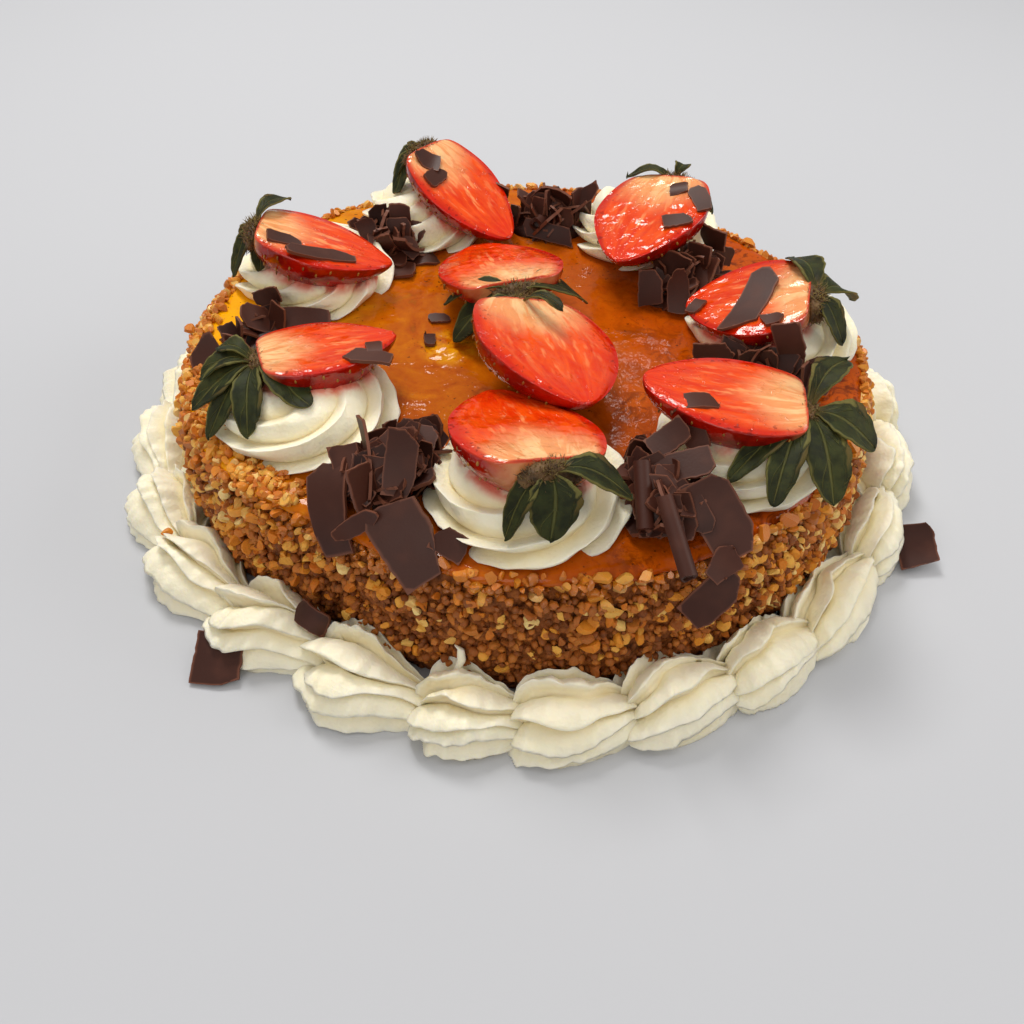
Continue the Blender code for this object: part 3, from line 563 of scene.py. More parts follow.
def lathe(section, steps):
    """A shape turned from a line of (radius, height) points."""
    shape = bmesh.new()
    verts = [shape.verts.new((radius, 0, height)) for radius, height in section]
    for pair in zip(verts, verts[1:]):
        shape.edges.new(pair)
    bmesh.ops.spin(
        shape, geom=shape.verts[:] + shape.edges[:], cent=(0, 0, 0), axis=(0, 0, 1), dvec=(0, 0, 0), angle=TAU,
        steps=steps, use_merge=True,
    )
    bmesh.ops.remove_doubles(shape, verts=shape.verts, dist=0.001)
    return shape


def ball(segments, rings, axis="Z"):
    shape = bmesh.new()
    bmesh.ops.create_uvsphere(shape, u_segments=segments, v_segments=rings, radius=1)
    if axis == "X":
        bmesh.ops.rotate(shape, matrix=Matrix.Rotation(math.pi / 2, 3, "Y"), verts=shape.verts)
    return shape


def add_to_scene(name, data):
    made = bpy.data.objects.new(name, data)
    bpy.context.scene.collection.objects.link(made)
    return made


def mesh_of(name, shape):
    """The mesh of a bmesh, which it frees."""
    mesh = bpy.data.meshes.new(name)
    shape.to_mesh(mesh)
    shape.free()
    return mesh


def make_piece(name, shape, finish, values=None, place=None, replaces=()):
    """Turns a bmesh into a finished piece; values holds numbers for each of its points."""
    if place:
        shape.transform(place)
    bmesh.ops.recalc_face_normals(shape, faces=shape.faces)
    shape.transform(TO_METRES)
    return finish_piece(name, mesh_of(name, shape), finish, values, 180, replaces)


def finish_piece(name, mesh, finish, values, sharp, replaces):
    for key, numbers in (values or {}).items():
        layer = mesh.attributes.new(key, "FLOAT", "POINT")
        layer.data.foreach_set("value", np.asarray(numbers, np.float32))
    mesh.materials.append(FINISHES[finish])
    mesh.shade_smooth()
    if sharp < 180:
        mesh.set_sharp_from_angle(angle=math.radians(sharp))
    piece = add_to_scene(name, mesh)
    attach(piece, "root")
    for node in replaces:
        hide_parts(node)
    return piece


def solid_of(shape):
    """Points and triangles of a bmesh, which it frees."""
    bmesh.ops.triangulate(shape, faces=shape.faces)
    shape.verts.index_update()
    points = np.array([vert.co for vert in shape.verts])
    faces = np.array([[vert.index for vert in face.verts] for face in shape.faces])
    shape.free()
    return points, faces


def swarm(name, placed, finish, keys=("tone",), sharp=30, replaces=()):
    """One piece of many copies. Each is a solid, which may hold a number for each of its points, a place and what
    all its points share; keys names these numbers, the shared ones first."""
    points, faces, numbers = [], [], []
    count = 0
    for (own_points, own_faces, *own), place, *given in placed:
        turn = np.array(place)
        points.append(own_points @ turn[:3, :3].T + turn[:3, 3])
        faces.append(own_faces + count)
        numbers.append(np.column_stack([np.tile(given, (len(own_points), 1)), *own]))
        count += len(own_points)
    mesh = bpy.data.meshes.new(name)
    mesh.from_pydata(np.concatenate(points) * 0.001, [], np.concatenate(faces))
    mesh.update()
    finish_piece(name, mesh, finish, dict(zip(keys, np.concatenate(numbers).T)), sharp, replaces)


def tree_of(*pieces):
    """What the pieces' surfaces are, in millimetres, for resting things on them."""
    points, faces = [], []
    for piece in pieces:
        start = len(points)
        points += [vert.co * 1000 for vert in piece.data.vertices]
        faces += [[start + number for number in face.vertices] for face in piece.data.polygons]
    return BVHTree.FromPolygons(points, faces)


def top_of(trees, x, y, lowest=0):
    """Height of the highest surface over a spot."""
    tops = [tree.ray_cast(Vector((x, y, 100)), -UP)[0] for tree in trees]
    return max([top.z for top in tops if top] + [lowest])


def nut_chunk(rng):
    """A chopped piece of nut: a lump with a few flat cuts."""
    shape = bmesh.new()
    bmesh.ops.create_icosphere(shape, subdivisions=2, radius=0.5)
    for _ in range(rng.randint(4, 7)):
        cut = random_way(rng)
        cut_off(shape, cut, cut * rng.uniform(0.15, 0.33))
        bmesh.ops.holes_fill(shape, edges=[edge for edge in shape.edges if edge.is_boundary])
    bmesh.ops.remove_doubles(shape, verts=shape.verts, dist=0.05)
    bmesh.ops.scale(shape, vec=(1.25, rng.uniform(0.85, 1.2), rng.uniform(0.7, 1)), verts=shape.verts)
    return solid_of(shape)


def nut_crumb(rng):
    """A small lump of nut and caramel."""
    shape = bmesh.new()
    bmesh.ops.create_icosphere(shape, subdivisions=1, radius=0.5)
    for vert in shape.verts:
        vert.co *= rng.uniform(0.7, 1.25)
    return solid_of(shape)


def nut_place(rng, azimuth, height, size, proud):
    """A place on the coated wall or its upper edge, and how wet with glaze it is there."""
    radius = wall_radius(azimuth, min(height, 39)) + proud
    if height > 39:
        radius -= (height - 39) * rng.uniform(0.4, 1.5)
    radius += 0.9 * noise(polar(8, azimuth, height / 9))
    front = blend_to(0.5, 0.95, math.sin(-azimuth))
    wet = blend_to(34, 41, height + 4 * noise(polar(12, azimuth, 0))) * (0.25 + 0.75 * front)
    return Matrix.Translation(polar(radius, azimuth, height)) @ random_turn(rng) @ Matrix.Scale(size, 4), wet


def make_nut_wall():
    rows = ((0, 110), (10, 110.8), (20, 110.2), (30, 108.8), (38, 106.8), (41, 104.6), (42.3, 101))
    foot, top = 0.2, 42.3
    heights = [foot] + [float(height) for height in np.arange(1, top, 0.8)] + [top]
    wall = lathe([(0, foot)] + [(curve(rows, height), height) for height in heights] + [(0, top)], 720)
    for vert in wall.verts:
        radius = vert.co.xy.length
        if radius > 50:
            azimuth = math.atan2(vert.co.y, vert.co.x)
            lump = noise(vert.co / 3.2) + 0.5 * noise(vert.co / 1.5)
            vert.co = polar(radius + bulge(azimuth, vert.co.z) + 1.1 * lump, azimuth, vert.co.z)
    make_piece("sponge_wall", wall, "crumb", replaces=["sponge_with_nuts"])


def make_nuts():
    """Brown crumbs all over the wall, and chopped nuts between them, with more of them off the front."""
    rng = random.Random(SEED)
    chunks = [nut_chunk(rng) for _ in range(14)]
    crumbs = [nut_crumb(rng) for _ in range(10)]
    brown, pale, rim = [], [], []
    for _ in range(CRUMBS):
        azimuth, height = rng.uniform(0, TAU), rng.uniform(6, 41.5)
        place, wet = nut_place(rng, azimuth, height, rng.uniform(1.5, 3.1), rng.uniform(-3.2, -1.1))
        brown.append((crumbs[rng.randrange(len(crumbs))], place, rng.uniform(0, 0.55), wet))
    while len(pale) < WALL_NUTS:
        azimuth, height = rng.uniform(0, TAU), rng.uniform(11, 42.5)
        front = blend_to(0.7, 0.95, math.sin(-azimuth))
        crowd = front * 0.55 + blend_to(34, 18, height) * 0.3
        if rng.random() < crowd:
            continue
        size = (rng.uniform(2.4, 3.9) if rng.random() < 0.75 else rng.uniform(3.9, 5.4)) * (1 - 0.07 * front)
        place, wet = nut_place(rng, azimuth, height, size, rng.uniform(-2.5, -0.9))
        tone = rng.choice((0.36, 0.5, 0.62, 0.7, 0.76, 0.82, 0.88, 0.96)) + rng.uniform(-0.07, 0.07) - 0.04 * front
        pale.append((chunks[rng.randrange(len(chunks))], place, tone, wet))
    while len(rim) < RIM_NUTS:
        azimuth = rng.uniform(0, TAU)
        cover = curve(NUT_COVER, math.degrees(azimuth)) * (1 + 0.5 * noise(polar(30, azimuth, 0)))
        hidden = any(low < math.degrees(azimuth) < high for low, high in UNDER_CHOCOLATE)
        front = blend_to(0.7, 0.95, math.sin(-azimuth))
        if hidden or rng.random() > (0.12 + cover / 10) * (1 - 0.6 * front):
            continue
        inward = rng.uniform(-0.5, max(0.5, cover)) + 2
        height = 41.8 + 2.8 * blend_to(1.5, 4.5, inward) + rng.uniform(-0.4, 0.4)
        place = Matrix.Translation(polar(wall_radius(azimuth, 39) - inward, azimuth, height)) @ random_turn(rng)
        tone = rng.choice((0.5, 0.62, 0.68, 0.74, 0.8, 0.9)) + rng.uniform(-0.07, 0.07) - 0.12 * front
        place = place @ Matrix.Scale(rng.uniform(1.8, 3.8), 4)
        rim.append((chunks[rng.randrange(len(chunks))], place, tone, 0.3 + 0.6 * front))
    for azimuth in LOOSE_NUTS:
        azimuth = math.radians(azimuth)
        place = Matrix.Translation(polar(wall_radius(azimuth, 39) - rng.uniform(1.5, 3.6), azimuth, 44.2))
        place = place @ random_turn(rng) @ Matrix.Scale(rng.uniform(3.6, 5.2), 4)
        rim.append((chunks[rng.randrange(len(chunks))], place, rng.uniform(0.6, 0.88), 0.6))
    stray = Matrix.Translation((-107.2, -71.2, 14.6)) @ Matrix.Scale(3.6, 4)
    rim.append((chunks[0], stray, 0.7, 0.2))
    for name, placed, sharp in (("nut_crumbs", brown, 60), ("nut_chunks", pale, 24), ("nut_chunks_rim", rim, 24)):
        swarm(name, placed, "nut", ("tone", "wet"), sharp, ["sponge_with_nuts"])


def make_yolk():
    section = (
        (0, 40.4), (104.6, 40.4), (106.2, 41.2), (106.6, 42.2), (106, 43.3), (104.6, 44), (102.8, 44.2),
        (100.6, 44), (98, 43.9),
    )
    shape = lathe(section + tuple((radius, 43.9) for radius in range(96, -1, -2)), 360)
    for vert in shape.verts:
        radius = vert.co.xy.length
        azimuth = math.atan2(vert.co.y, vert.co.x)
        outer = blend_to(95, 106, radius)
        spot = polar(radius + bulge(azimuth, 44) * min(1, radius / 100), azimuth, vert.co.z)
        if spot.z > 41:
            spot.z += 0.35 * noise(spot / 16) + 0.18 * noise(spot / 5)
            spot += polar(outer * 0.9 * noise(polar(14, azimuth, 3)), azimuth, 0)
            away = (spot - Vector((-26, -14.5, 44))).length
            spot.z += 1 * math.exp(-((away / 7) ** 2)) * (0.8 + 1.4 * noise(spot / 1.9))
        vert.co = spot
    return make_piece("egg_yolk_layer", shape, "yolk", replaces=["egg_yolk_glaze"])


def fold(phase):
    """Height of a piped ridge, 0 to 1, across one period: a short undercut lip, then a long slope."""
    share = phase % 1
    if share < 0.13:
        return blend_to(0, 0.13, share)
    return (1 - (share - 0.13) / 0.87) ** 0.85


def make_cream(name, shape, groove_shades=None, stains=None, replaces=()):
    """A piece of cream, with no juice stain and no painted groove shade where it has no numbers for its points."""
    plain = [0] * len(shape.verts)
    values = {"stain": stains or plain, "groove_shade": groove_shades or plain}
    return make_piece(name, shape, "cream", values, replaces=replaces)


def stain_at(spot, berries):
    """How much juice a berry has left on the cream at a spot."""
    nearest = min((tree.find_nearest(spot, 4)[3] or 9) for tree in berries)
    return blend_to(4, 0.5, nearest)


def make_rosette(name, berries):
    x, y, radius, height, turn = ROSETTES[name]
    rng = random.Random(f"{SEED} {name}")
    section = (
        (0, 0.9), (0.06, 0.99), (0.16, 1), (0.34, 0.95), (0.55, 0.83), (0.78, 0.6), (0.92, 0.36), (1, 0),
    )
    layered = name in ("front", "left_front", "right_front")
    folds = 5 if layered else 9 if name in ("left_back", "back_right") else 8
    swirl = 0.58 if layered else 0.3
    widths = [rng.uniform(0.75, 1.25) for _ in range(folds)]
    ends = np.cumsum([0] + widths) / sum(widths)
    shape = ball(216, 72)
    stains, groove_shades = [], []
    for vert in shape.verts:
        azimuth = math.atan2(vert.co.y, vert.co.x)
        rise = max(0, vert.co.z)
        share = rise**1.25
        flat, under = vert.co.xy.length, vert.co.z < 0
        out = flat if under else curve(section, share)
        wander = 0.035 * noise(polar(1, azimuth, share * 2 + turn) * 1.4)
        around = azimuth / TAU % 1
        number = min(folds - 1, int(np.searchsorted(ends, around, side="right")) - 1)
        phase = (around - ends[number]) / (ends[number + 1] - ends[number])
        crest = fold(phase)
        depth = 0.25 * (1 - 0.3 * share) * (flat if under else 1)
        azimuth += TAU * (share * swirl - wander)
        ragged = 0.05 * noise(polar(4.5, azimuth, share * 6 + turn))
        spread = 1.09 - depth * (1 - crest) + ragged * crest
        lean = 0 if under else 0.07 * crest
        spot = polar(radius * out * spread, azimuth - lean + math.radians(turn), height * share)
        spot.z += height * 0.14 * (crest - 0.5) * math.sin(math.pi * min(1, share * 1.1))
        spot.z = max(0, spot.z)
        vert.co = spot + Vector((x, y, YOLK_TOP - 0.6))
        stains.append(stain_at(vert.co, berries))
        # Painted shade: how deep in a groove a point lies, which darkens the cream there
        groove_shades.append((1 - crest) ** 2)
    return make_cream(f"piped_rosette_{name}", shape, groove_shades, stains, [f"cream_rosette_{name}"])


def make_shell(number, start, end):
    """One piped shell: a round head at its start, and ridges that draw together in its tail."""
    rng = random.Random(f"{SEED} shell {number}")
    fan = SHELL_FANS[number - 1] if number <= len(SHELL_FANS) else COMMON_FAN
    along_at = (
        (0, 0), (0.05, 0.0075), (0.11, 0.036), (0.2, 0.113), (0.35, 0.3), (0.5, 0.5), (0.65, 0.7), (0.8, 0.88),
        (0.92, 1), (1, 1.04),
    )
    swell_at = (
        (0, 0), (0.05, 0.46), (0.11, 0.72), (0.2, 0.92), (0.35, 1.02 + 0.04 * fan), (0.5, 1.01 - 0.07 * fan),
        (0.65, 0.92 - 0.22 * fan), (0.8, 0.76 - 0.24 * fan), (0.92, 0.57 - 0.18 * fan), (1, 0),
    )
    ridges = round(10 + 2 * fan + rng.uniform(-0.4, 1))
    period = TAU / ridges
    offset = rng.uniform(-0.3, 0.3)
    size = rng.uniform(0.94, 1)
    reaches = [rng.uniform(-1, 1) for _ in range(ridges)]
    shape = ball(208, 64, "X")
    groove_shades = []
    for vert in shape.verts:
        share = math.acos(max(-1, min(1, -vert.co.x))) / math.pi
        angle = math.atan2(vert.co.z, vert.co.y)
        phase = angle / period + offset + 2 * ridges
        own_reach = reaches[int(phase) % ridges]
        around = polar(1.3, angle, share * 1.7 + number * 3.7)
        wave = 0.3 * noise(Vector((share * 5, math.cos(angle) * 2, number * 2.9)))
        angle += period * (0.9 * share - 0.45 - 0.9 * noise(around) - wave)
        above = math.sin(angle) > 0
        crest = fold(phase) if above else 0.5
        head = blend_to(0.6, 0.1, share)
        lobe = (0.09 + 0.05 * fan) * (crest - 0.5) + (0.05 + 0.03 * fan) * own_reach
        along = curve(along_at, share) * 1.08 - 0.06 - head * lobe
        azimuth = start + (end - start) * along
        reach = SHELL_REACH + SHELL_SPREAD * math.cos(azimuth - math.radians(SPREAD_AZIMUTH))
        depth = (0.28 + 0.12 * head) * (1 + 0.35 * own_reach)
        ragged = 0.08 * noise(Vector((along * 12, angle * 2, number * 1.3)))
        swell = curve(swell_at, share) * size * (1.06 - depth * (1 - crest) + ragged * crest)
        if above:
            angle -= 0.3 * period * crest**3 * blend_to(0.1, 0.4, angle)
        reach -= curve(BORDER_INSET, math.degrees(azimuth) % 360)
        outward = reach - SHELL_MIDDLE if math.cos(angle) > 0 else SHELL_INWARD
        height = max(0, SHELL_HEIGHT * swell * math.sin(angle)) if above else 0
        out = SHELL_MIDDLE + outward * swell * math.cos(angle) + bulge(azimuth)
        vert.co = polar(out, azimuth, height)
        # Painted shade: how deep in a groove a point lies, which darkens the cream there
        groove_shades.append((1 - crest) ** 2)
    make_cream(f"piped_shell_{number:02d}", shape, groove_shades, replaces=[f"cream_shell_{number:02d}"])


def make_border():
    starts = list(SHELL_STARTS[:-1])
    behind = (SHELL_STARTS[0] + 360 - SHELL_STARTS[-1]) / SHELLS_BEHIND
    starts += [SHELL_STARTS[-1] + behind * number for number in range(SHELLS_BEHIND)]
    starts.append(SHELL_STARTS[0] + 360)
    for number, (start, end) in enumerate(zip(starts, starts[1:]), 1):
        make_shell(number, math.radians(start), math.radians(end))


def make_wisp():
    """The thread of cream that the nozzle left standing on the border in front."""
    stops = (0, 0.35, 0.7, 1)
    places = ((-16.3, -14.6, -14.9, -16.6), (-114.6, -112.8, -111, -110), (13, 17, 19.5, 20))
    shape = ball(12, 24)
    for vert in shape.verts:
        share = (vert.co.z + 1) / 2
        middle = Vector([curve(tuple(zip(stops, values)), share) for values in places])
        vert.co = middle + Vector((vert.co.x, vert.co.y * 0.84, -vert.co.y * 0.55)) * (1.5 - 0.7 * share)
    make_cream("piped_wisp", shape)


def berry_profile(along, blunt):
    """Half width of a strawberry, 0 to 1, from its leaves at -1 to its tip at 1."""
    share = min(1, (along + 1) / 2)
    blunt *= SHOULDERS + (1 - SHOULDERS) * min(1, 2 * share)
    return max(0, math.sin(math.pi * share**WIDEST)) ** blunt


def make_berry(name):
    middle, heading, fall, roll, (length, width, depth), blunt = BERRIES[name]
    place = axes(middle, heading, fall, roll)
    number = list(BERRIES).index(name)
    shape = ball(96, 72, "X")
    rows = []
    for vert in shape.verts:
        along = vert.co.x
        ring = math.sqrt(max(0, 1 - along**2))
        swell = berry_profile(along, blunt)
        across, below = (vert.co.y / ring, vert.co.z / ring) if ring > 0.001 else (0, 0)
        lump = 1 + 0.05 * noise(Vector((along * 1.5, across * 1.2, number * 5.1)))
        x = along * length / 2
        y = across * width / 2 * swell * lump
        cut = below >= -0.02
        edge = max(abs(across), 1 - (1 - abs(along)) * 4.5)
        if cut:
            inner = blend_to(1, 0.75, abs(across))
            spot = Vector((x, y, 0))
            ripple = noise(spot / 2.6 + Vector((0, 0, number))) + 0.6 * noise(spot / 1.2)
            z = (0.55 * inner + 0.12 * ripple * inner) * blend_to(0, 0.15, swell)
        else:
            z = below * depth * swell * lump
        vert.co = (x, y, z)
        rows.append((along, across, edge, cut, number * 3.3))
    values = dict(zip(("along", "across", "edge", "cut", "number"), zip(*rows)))
    return make_piece(f"strawberry_half_{name}", shape, "berry", values, place, [f"strawberry_{name}"])


def make_seeds():
    rng = random.Random(SEED + 1)
    seed = ball(6, 4)
    bmesh.ops.scale(seed, vec=(0.75, 0.45, 0.3), verts=seed.verts)
    seed = solid_of(seed)
    placed = []
    for middle, heading, fall, roll, (length, width, depth), blunt in BERRIES.values():
        frame_of = axes(middle, heading, fall, roll)
        for row in range(9):
            along = -0.78 + row * 0.19
            swell = berry_profile(along, blunt)
            count = max(3, round(9 * swell))
            for step in range(count):
                angle = -math.pi * (step + 0.5 + 0.5 * (row % 2) + rng.uniform(-0.12, 0.12)) / (count + 0.5)
                y = width / 2 * swell * math.cos(angle)
                z = depth * swell * math.sin(angle)
                spot = Vector((along * length / 2, y, z))
                normal = Vector((along * 0.5, y / (width / 2) ** 2, z / depth**2)).normalized()
                placed.append((seed, frame_of @ Matrix.Translation(spot) @ aimed(normal), rng.random()))
    swarm("strawberry_seeds", placed, "seed", sharp=90)


def leaf_sheet(base, tip, width, rng, trees):
    """A leaf from base to tip, folded up from a sunken rib, with a waved edge, laid on what is under it."""
    steps, sides = 24, 10
    shape = bmesh.new()
    bmesh.ops.create_grid(shape, x_segments=steps, y_segments=sides, size=1)
    along = tip - base
    side = along.cross(UP).normalized()
    arch = 2.2 + 0.08 * along.length
    wave, sway = rng.uniform(0, TAU), rng.uniform(-1.2, 1.2)
    values = {"along": [], "across": []}
    for vert in shape.verts:
        u = (1 - math.cos(math.pi * (vert.co.x + 1) / 2)) / 2
        v = vert.co.y
        half = width * max(0, u - u * u) ** 0.5 * (1 - 0.5 * blend_to(0.6, 0, u))
        half = max(half, 0.5 * (1 - u)) * (1 + 0.05 * math.sin(u * 34))
        spot = base + along * u + UP * (arch * math.sin(math.pi * u**0.8))
        spot += side * (v * half + sway * math.sin(math.pi * u))
        spot.z += 0.22 * abs(v) * half + 0.45 * abs(v) ** 2 * math.sin(wave + 9 * u + 2 * v)
        top = max(top_of(trees, spot.x + east, spot.y + north) for east, north in LEAF_FOOTPRINT)
        spot.z = max(spot.z, top + 0.8)
        vert.co = spot
        values["along"].append(u)
        values["across"].append(v)
    bmesh.ops.recalc_face_normals(shape, faces=shape.faces)
    bmesh.ops.solidify(shape, geom=shape.faces[:], thickness=0.45)
    for key in values:
        values[key] = values[key] * 2
    return shape, values


def hub_place(name):
    middle, heading, fall, roll, (length, _, _), _ = BERRIES[name]
    return axes(middle, heading, fall, roll) @ Matrix.Translation((-length / 2 - 0.3 * HUB_SIZE[0], 0, -HUB_SIZE[2]))


def make_calyx(name, trees):
    rng = random.Random(f"{SEED} calyx {name}")
    place = hub_place(name)
    middle = place.translation
    hub = ball(32, 20)
    for vert in hub.verts:
        lump = 1 + 0.18 * noise(vert.co * 2.4 + middle)
        vert.co = [size * part * lump for size, part in zip(HUB_FUR, vert.co)]
    make_piece(f"calyx_hub_{name}", hub, "hair", place=place, replaces=[f"calyx_{name}"])
    whole = bmesh.new()
    values = {"along": [], "across": []}
    for tip, width in LEAVES[name]:
        tip = Vector(tip)
        base = middle + UP * 2.2 + (tip - middle).normalized() * 1.2
        shape, own = leaf_sheet(base, tip, width * LEAF_FULLNESS.get(name, COMMON_FULLNESS), rng, trees)
        mesh = mesh_of("leaf", shape)
        whole.from_mesh(mesh)
        bpy.data.meshes.remove(mesh)
        for key in values:
            values[key] += own[key]
    make_piece(f"calyx_leaves_{name}", whole, "leaf", values, replaces=[f"calyx_{name}"])


def make_hairs():
    """The fine hairs round each calyx."""
    rng = random.Random(SEED + 2)
    shape = bmesh.new()
    bmesh.ops.create_cone(shape, cap_ends=True, segments=3, radius1=0.12, radius2=0.01, depth=1)
    bmesh.ops.translate(shape, vec=(0, 0, 0.5), verts=shape.verts)
    hair = solid_of(shape)
    placed = []
    for name in BERRIES:
        place = hub_place(name)
        for _ in range(HAIRS):
            way = random_way(rng, (-0.4, 0, 0.5))
            spot = Vector([size * 0.98 * part for size, part in zip(HUB_FUR, way)])
            turn = aimed((way + Vector([rng.gauss(0, 0.5) for _ in range(3)])).normalized())
            placed.append((hair, place @ Matrix.Translation(spot) @ turn @ Matrix.Scale(rng.uniform(1, 2.4), 4), 0.5))
    swarm("calyx_hairs", placed, "hair", sharp=90)


def shaving(length, width, rng, fine=True):
    """A broken shaving of chocolate: points, faces and which of its points are on a broken edge."""
    steps, sides = (12, 6) if fine else (5, 3)
    shape = bmesh.new()
    bmesh.ops.create_grid(shape, x_segments=steps, y_segments=sides, size=0.5)
    bmesh.ops.scale(shape, vec=(length, width, 1), verts=shape.verts)
    ways = [TAU * (corner + rng.uniform(0.05, 0.95)) / 4 for corner in range(4)]
    for way in ways[:rng.randint(2, 4)]:
        cut = Vector((math.cos(way), math.sin(way), 0))
        reach = (abs(cut.x) * length + abs(cut.y) * width) / 2
        cut_off(shape, cut, cut * reach * rng.uniform(0.6, 0.88))
    seed = rng.uniform(0, 99)
    for vert in shape.verts:
        if vert.is_boundary:
            vert.co.x += 0.35 * noise(vert.co * 0.9 + Vector((0, 0, seed)))
            vert.co.y += 0.35 * noise(vert.co * 0.9 + Vector((0, 9, seed)))
    bmesh.ops.recalc_face_normals(shape, faces=shape.faces)
    bmesh.ops.solidify(shape, geom=shape.faces[:], thickness=rng.uniform(0.7, 1.1) if fine else 0.65)
    shape.normal_update()
    edges = [1 if any(abs(face.normal.z) < 0.5 for face in vert.link_faces) else 0 for vert in shape.verts]
    bend = rng.choice((0.1, 0.2, 0.3, 0.7)) * rng.choice((-1, 1))
    twist = rng.uniform(-0.15, 0.15)
    for vert in shape.verts:
        x, y, z = vert.co
        radius = length / abs(bend) / 1.6
        lift = radius - math.sqrt(max(0, radius**2 - x**2))
        vert.co.z = z + math.copysign(lift, bend) + twist * x * y / length
    points, faces = solid_of(shape)
    return points, faces, np.array(edges)


def roll_solid(length, radius):
    """A shaving rolled up one and a half times."""
    shape = bmesh.new()
    turns, steps = 1.45, 34
    verts = []
    for step in range(steps + 1):
        angle = TAU * turns * step / steps
        out = radius * (0.62 + 0.38 * step / steps)
        verts.append(shape.verts.new((out * math.cos(angle), out * math.sin(angle), -length / 2)))
    edges = [shape.edges.new(pair) for pair in zip(verts, verts[1:])]
    made = bmesh.ops.extrude_edge_only(shape, edges=edges)["geom"]
    risen = [item for item in made if isinstance(item, bmesh.types.BMVert)]
    bmesh.ops.translate(shape, vec=(0, 0, length), verts=risen)
    for vert in shape.verts:
        vert.co.z += 0.5 * noise(vert.co * 0.6)
    bmesh.ops.recalc_face_normals(shape, faces=shape.faces)
    bmesh.ops.solidify(shape, geom=shape.faces[:], thickness=0.6)
    points, faces = solid_of(shape)
    return points, faces, np.zeros(len(points))


def make_heap(name, trees):
    (x, y), (half_length, half_width), heading, height, small = HEAPS[name]
    rng = random.Random(f"{SEED} heap {name}")
    placed = []
    turn = Matrix.Rotation(math.radians(heading), 4, "Z")
    for px, py, pz, *angles, length, width in SHAVINGS[name]:
        place = axes((px, py, pz), *angles)
        placed.append((shaving(length * 1.04, width * 1.04, rng), place, rng.uniform(0.3, 0.8)))
    for one, other in ROLLS.get(name, ()):
        one, other = Vector(one), Vector(other)
        place = Matrix.Translation((one + other) / 2) @ aimed(other - one, "Z", "Y")
        placed.append((roll_solid((other - one).length, ROLL_RADIUS), place, 0.6))
    front = name.startswith("front")
    for count in range(small):
        sliver = count % (4 if front else 2) == 1
        out = math.sqrt(rng.random()) * (1.15 if sliver else 0.9)
        way = rng.uniform(0, TAU)
        ahead = out * math.cos(way)
        if front and ahead > 0.5:
            ahead -= 0.8
        spot = turn @ Vector((half_length * ahead, half_width * out * math.sin(way), 0)) + Vector((x, y, 0))
        level = max(height * math.sqrt(max(0, 1 - out**2)) + YOLK_TOP, top_of(trees, spot.x, spot.y, YOLK_TOP) + 1)
        spot.z = level + (rng.uniform(-2, 1) if sliver else rng.uniform(-1, 3))
        if sliver:
            place = axes(spot, rng.uniform(0, 360), rng.uniform(0, 50), rng.uniform(-60, 60))
            solid = shaving(rng.uniform(4, 9), rng.uniform(2, 4.5), rng, False)
        else:
            facing, fall = rng.gauss(-90, 75), rng.uniform(15, 65) if front else rng.uniform(30, 85)
            place = axes(spot, facing, fall, rng.uniform(-40, 40))
            solid = shaving(rng.uniform(8, 15), rng.uniform(5, 9), rng)
        placed.append((solid, place, rng.uniform(0, 1)))
    swarm(f"shaved_chocolate_{name}", placed, "chocolate", SHAVED, 40, [f"chocolate_heap_{name}"])
    core = ball(32, 16)
    shift = 0.3 if front else 0
    for vert in core.verts:
        lump = 1 + 0.12 * noise(vert.co * 3)
        along = (vert.co.x * (0.95 - shift) - shift) * half_length
        vert.co = (along * lump, vert.co.y * half_width * lump, max(-0.05, vert.co.z) * (height - 4) * lump)
    place = Matrix.Translation((x, y, YOLK_TOP)) @ turn
    values = dict.fromkeys(SHAVED, [0] * len(core.verts))
    make_piece(f"chocolate_core_{name}", core, "chocolate", values, place)


def make_flakes():
    rng = random.Random(SEED + 3)
    placed = []
    for name, flakes in BERRY_FLAKES.items():
        middle, heading, fall, roll, *_ = BERRIES[name]
        for number, (x, y, turn, length, width) in enumerate(flakes):
            spot = axes((x, y, 1.2 + 0.3 * number), turn, 3, 2)
            place = axes(middle, heading, fall, roll) @ spot
            placed.append((shaving(length * 1.2, width * 1.2, rng), place, rng.uniform(0.4, 0.9)))
    swarm("flakes_on_berries", placed, "chocolate", SHAVED, 40)
    placed = []
    for flakes in SHELL_FLAKES.values():
        for x, y, z, *angles, length, width in flakes:
            placed.append((shaving(length, width, rng), axes((x, y, z), *angles), 0.4))
    swarm("flakes_at_border", placed, "chocolate", SHAVED, 40)


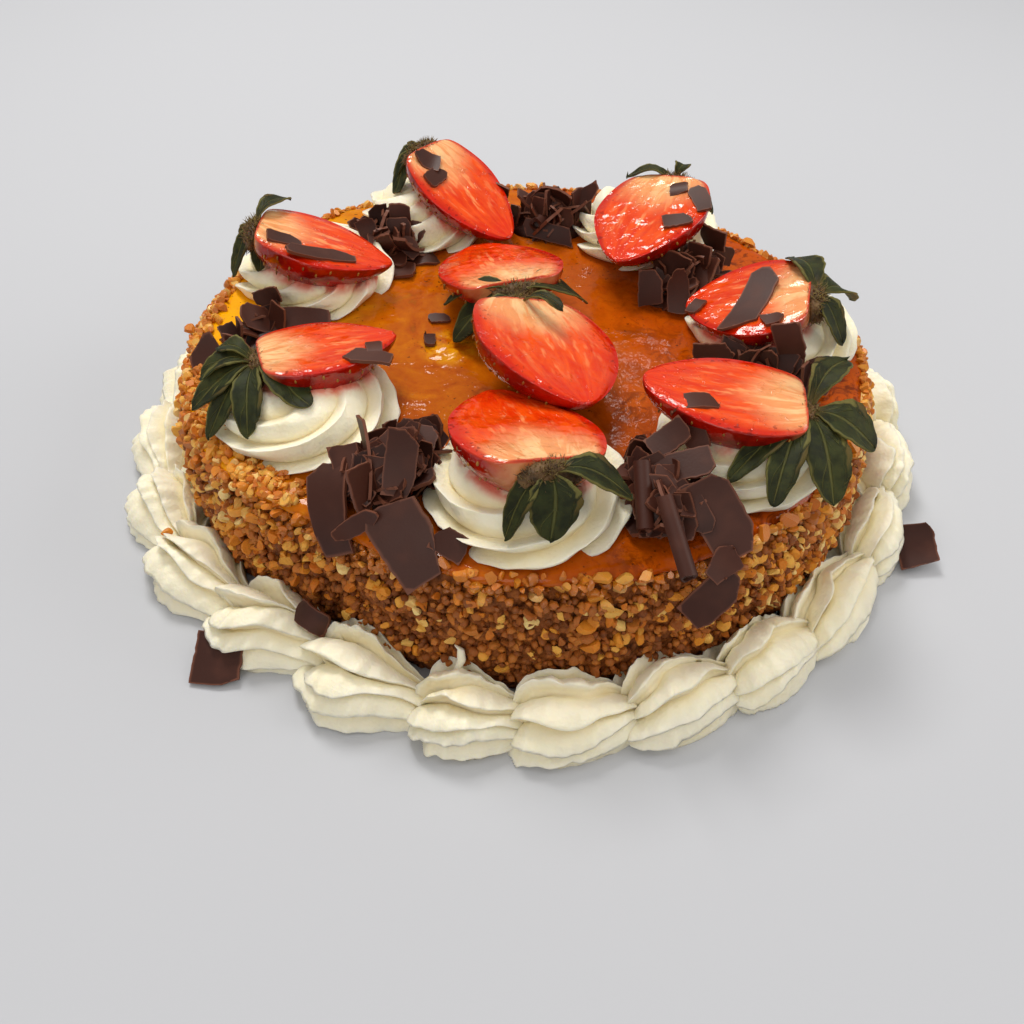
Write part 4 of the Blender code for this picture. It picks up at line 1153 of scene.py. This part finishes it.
def make_camera():
    data = bpy.data.cameras.new("camera")
    data.sensor_width = SENSOR_WIDTH
    data.lens = FOCAL_PIXELS / PICTURE_PIXELS * SENSOR_WIDTH
    camera = add_to_scene("camera", data)
    turn = Matrix((
        (0.99849, -0.04928, 0.02437), (0.05267, 0.73051, -0.68087), (0.01575, 0.68112, 0.73200),
    )).to_4x4()
    camera.matrix_world = Matrix.Translation((0.003, -0.2552, 0.2288)) @ turn
    bpy.context.scene.camera = camera


def add_light(name, place, target, size, power, tint, shines=True):
    data = bpy.data.lights.new(name, "AREA")
    data.shape = "SQUARE"
    data.size = size
    data.energy = power
    data.color = tint
    light = add_to_scene(name, data)
    light.matrix_world = Matrix.Translation(place) @ aimed(Vector(target) - Vector(place), "-Z", "Y")
    light.visible_glossy = shines


def make_studio():
    floor = bmesh.new()
    bmesh.ops.create_grid(floor, x_segments=8, y_segments=8, size=4)
    mesh = mesh_of("floor", floor)
    mesh.materials.append(FINISHES["backdrop"])
    add_to_scene("floor", mesh)
    world = bpy.data.worlds.new("studio")
    world.use_nodes = True
    world.node_tree.nodes["Background"].inputs["Color"].default_value = (1, 0.96, 0.9, 1)
    world.node_tree.nodes["Background"].inputs["Strength"].default_value = 0.34
    bpy.context.scene.world = world
    warm = (1, 0.965, 0.91)
    add_light("key", (-0.25, 0.5, 0.95), (0, 0, 0.03), 0.35, 7.5, warm)
    add_light("glint", (0.12, 0.85, 0.8), (0, 0, 0.05), 0.06, 0.08, warm)
    add_light("above", (0.1, -0.05, 1.4), (0, 0, 0.03), 1.4, 6, warm, False)
    add_light("side", (0.8, 0.1, 0.6), (0, 0, 0.03), 0.5, 2.6, warm)
    add_light("front", (-0.3, -0.9, 0.7), (0, 0, 0.03), 0.7, 3, warm)
    bpy.context.scene.view_settings.view_transform = "Standard"


def main():
    make_camera()
    make_studio()
    make_nut_wall()
    make_nuts()
    yolk = make_yolk()
    berries = [make_berry(name) for name in BERRIES]
    berry_trees = [tree_of(berry) for berry in berries]
    rosettes = [make_rosette(name, berry_trees) for name in ROSETTES]
    cream = tree_of(*rosettes)
    make_border()
    make_wisp()
    make_seeds()
    yolk_tree = tree_of(yolk)
    for name in LEAVES:
        make_calyx(name, [cream, yolk_tree] + ([berry_trees[0]] if name == "centre_front" else []))
    make_hairs()
    for name in HEAPS:
        make_heap(name, [cream])
    make_flakes()


main()
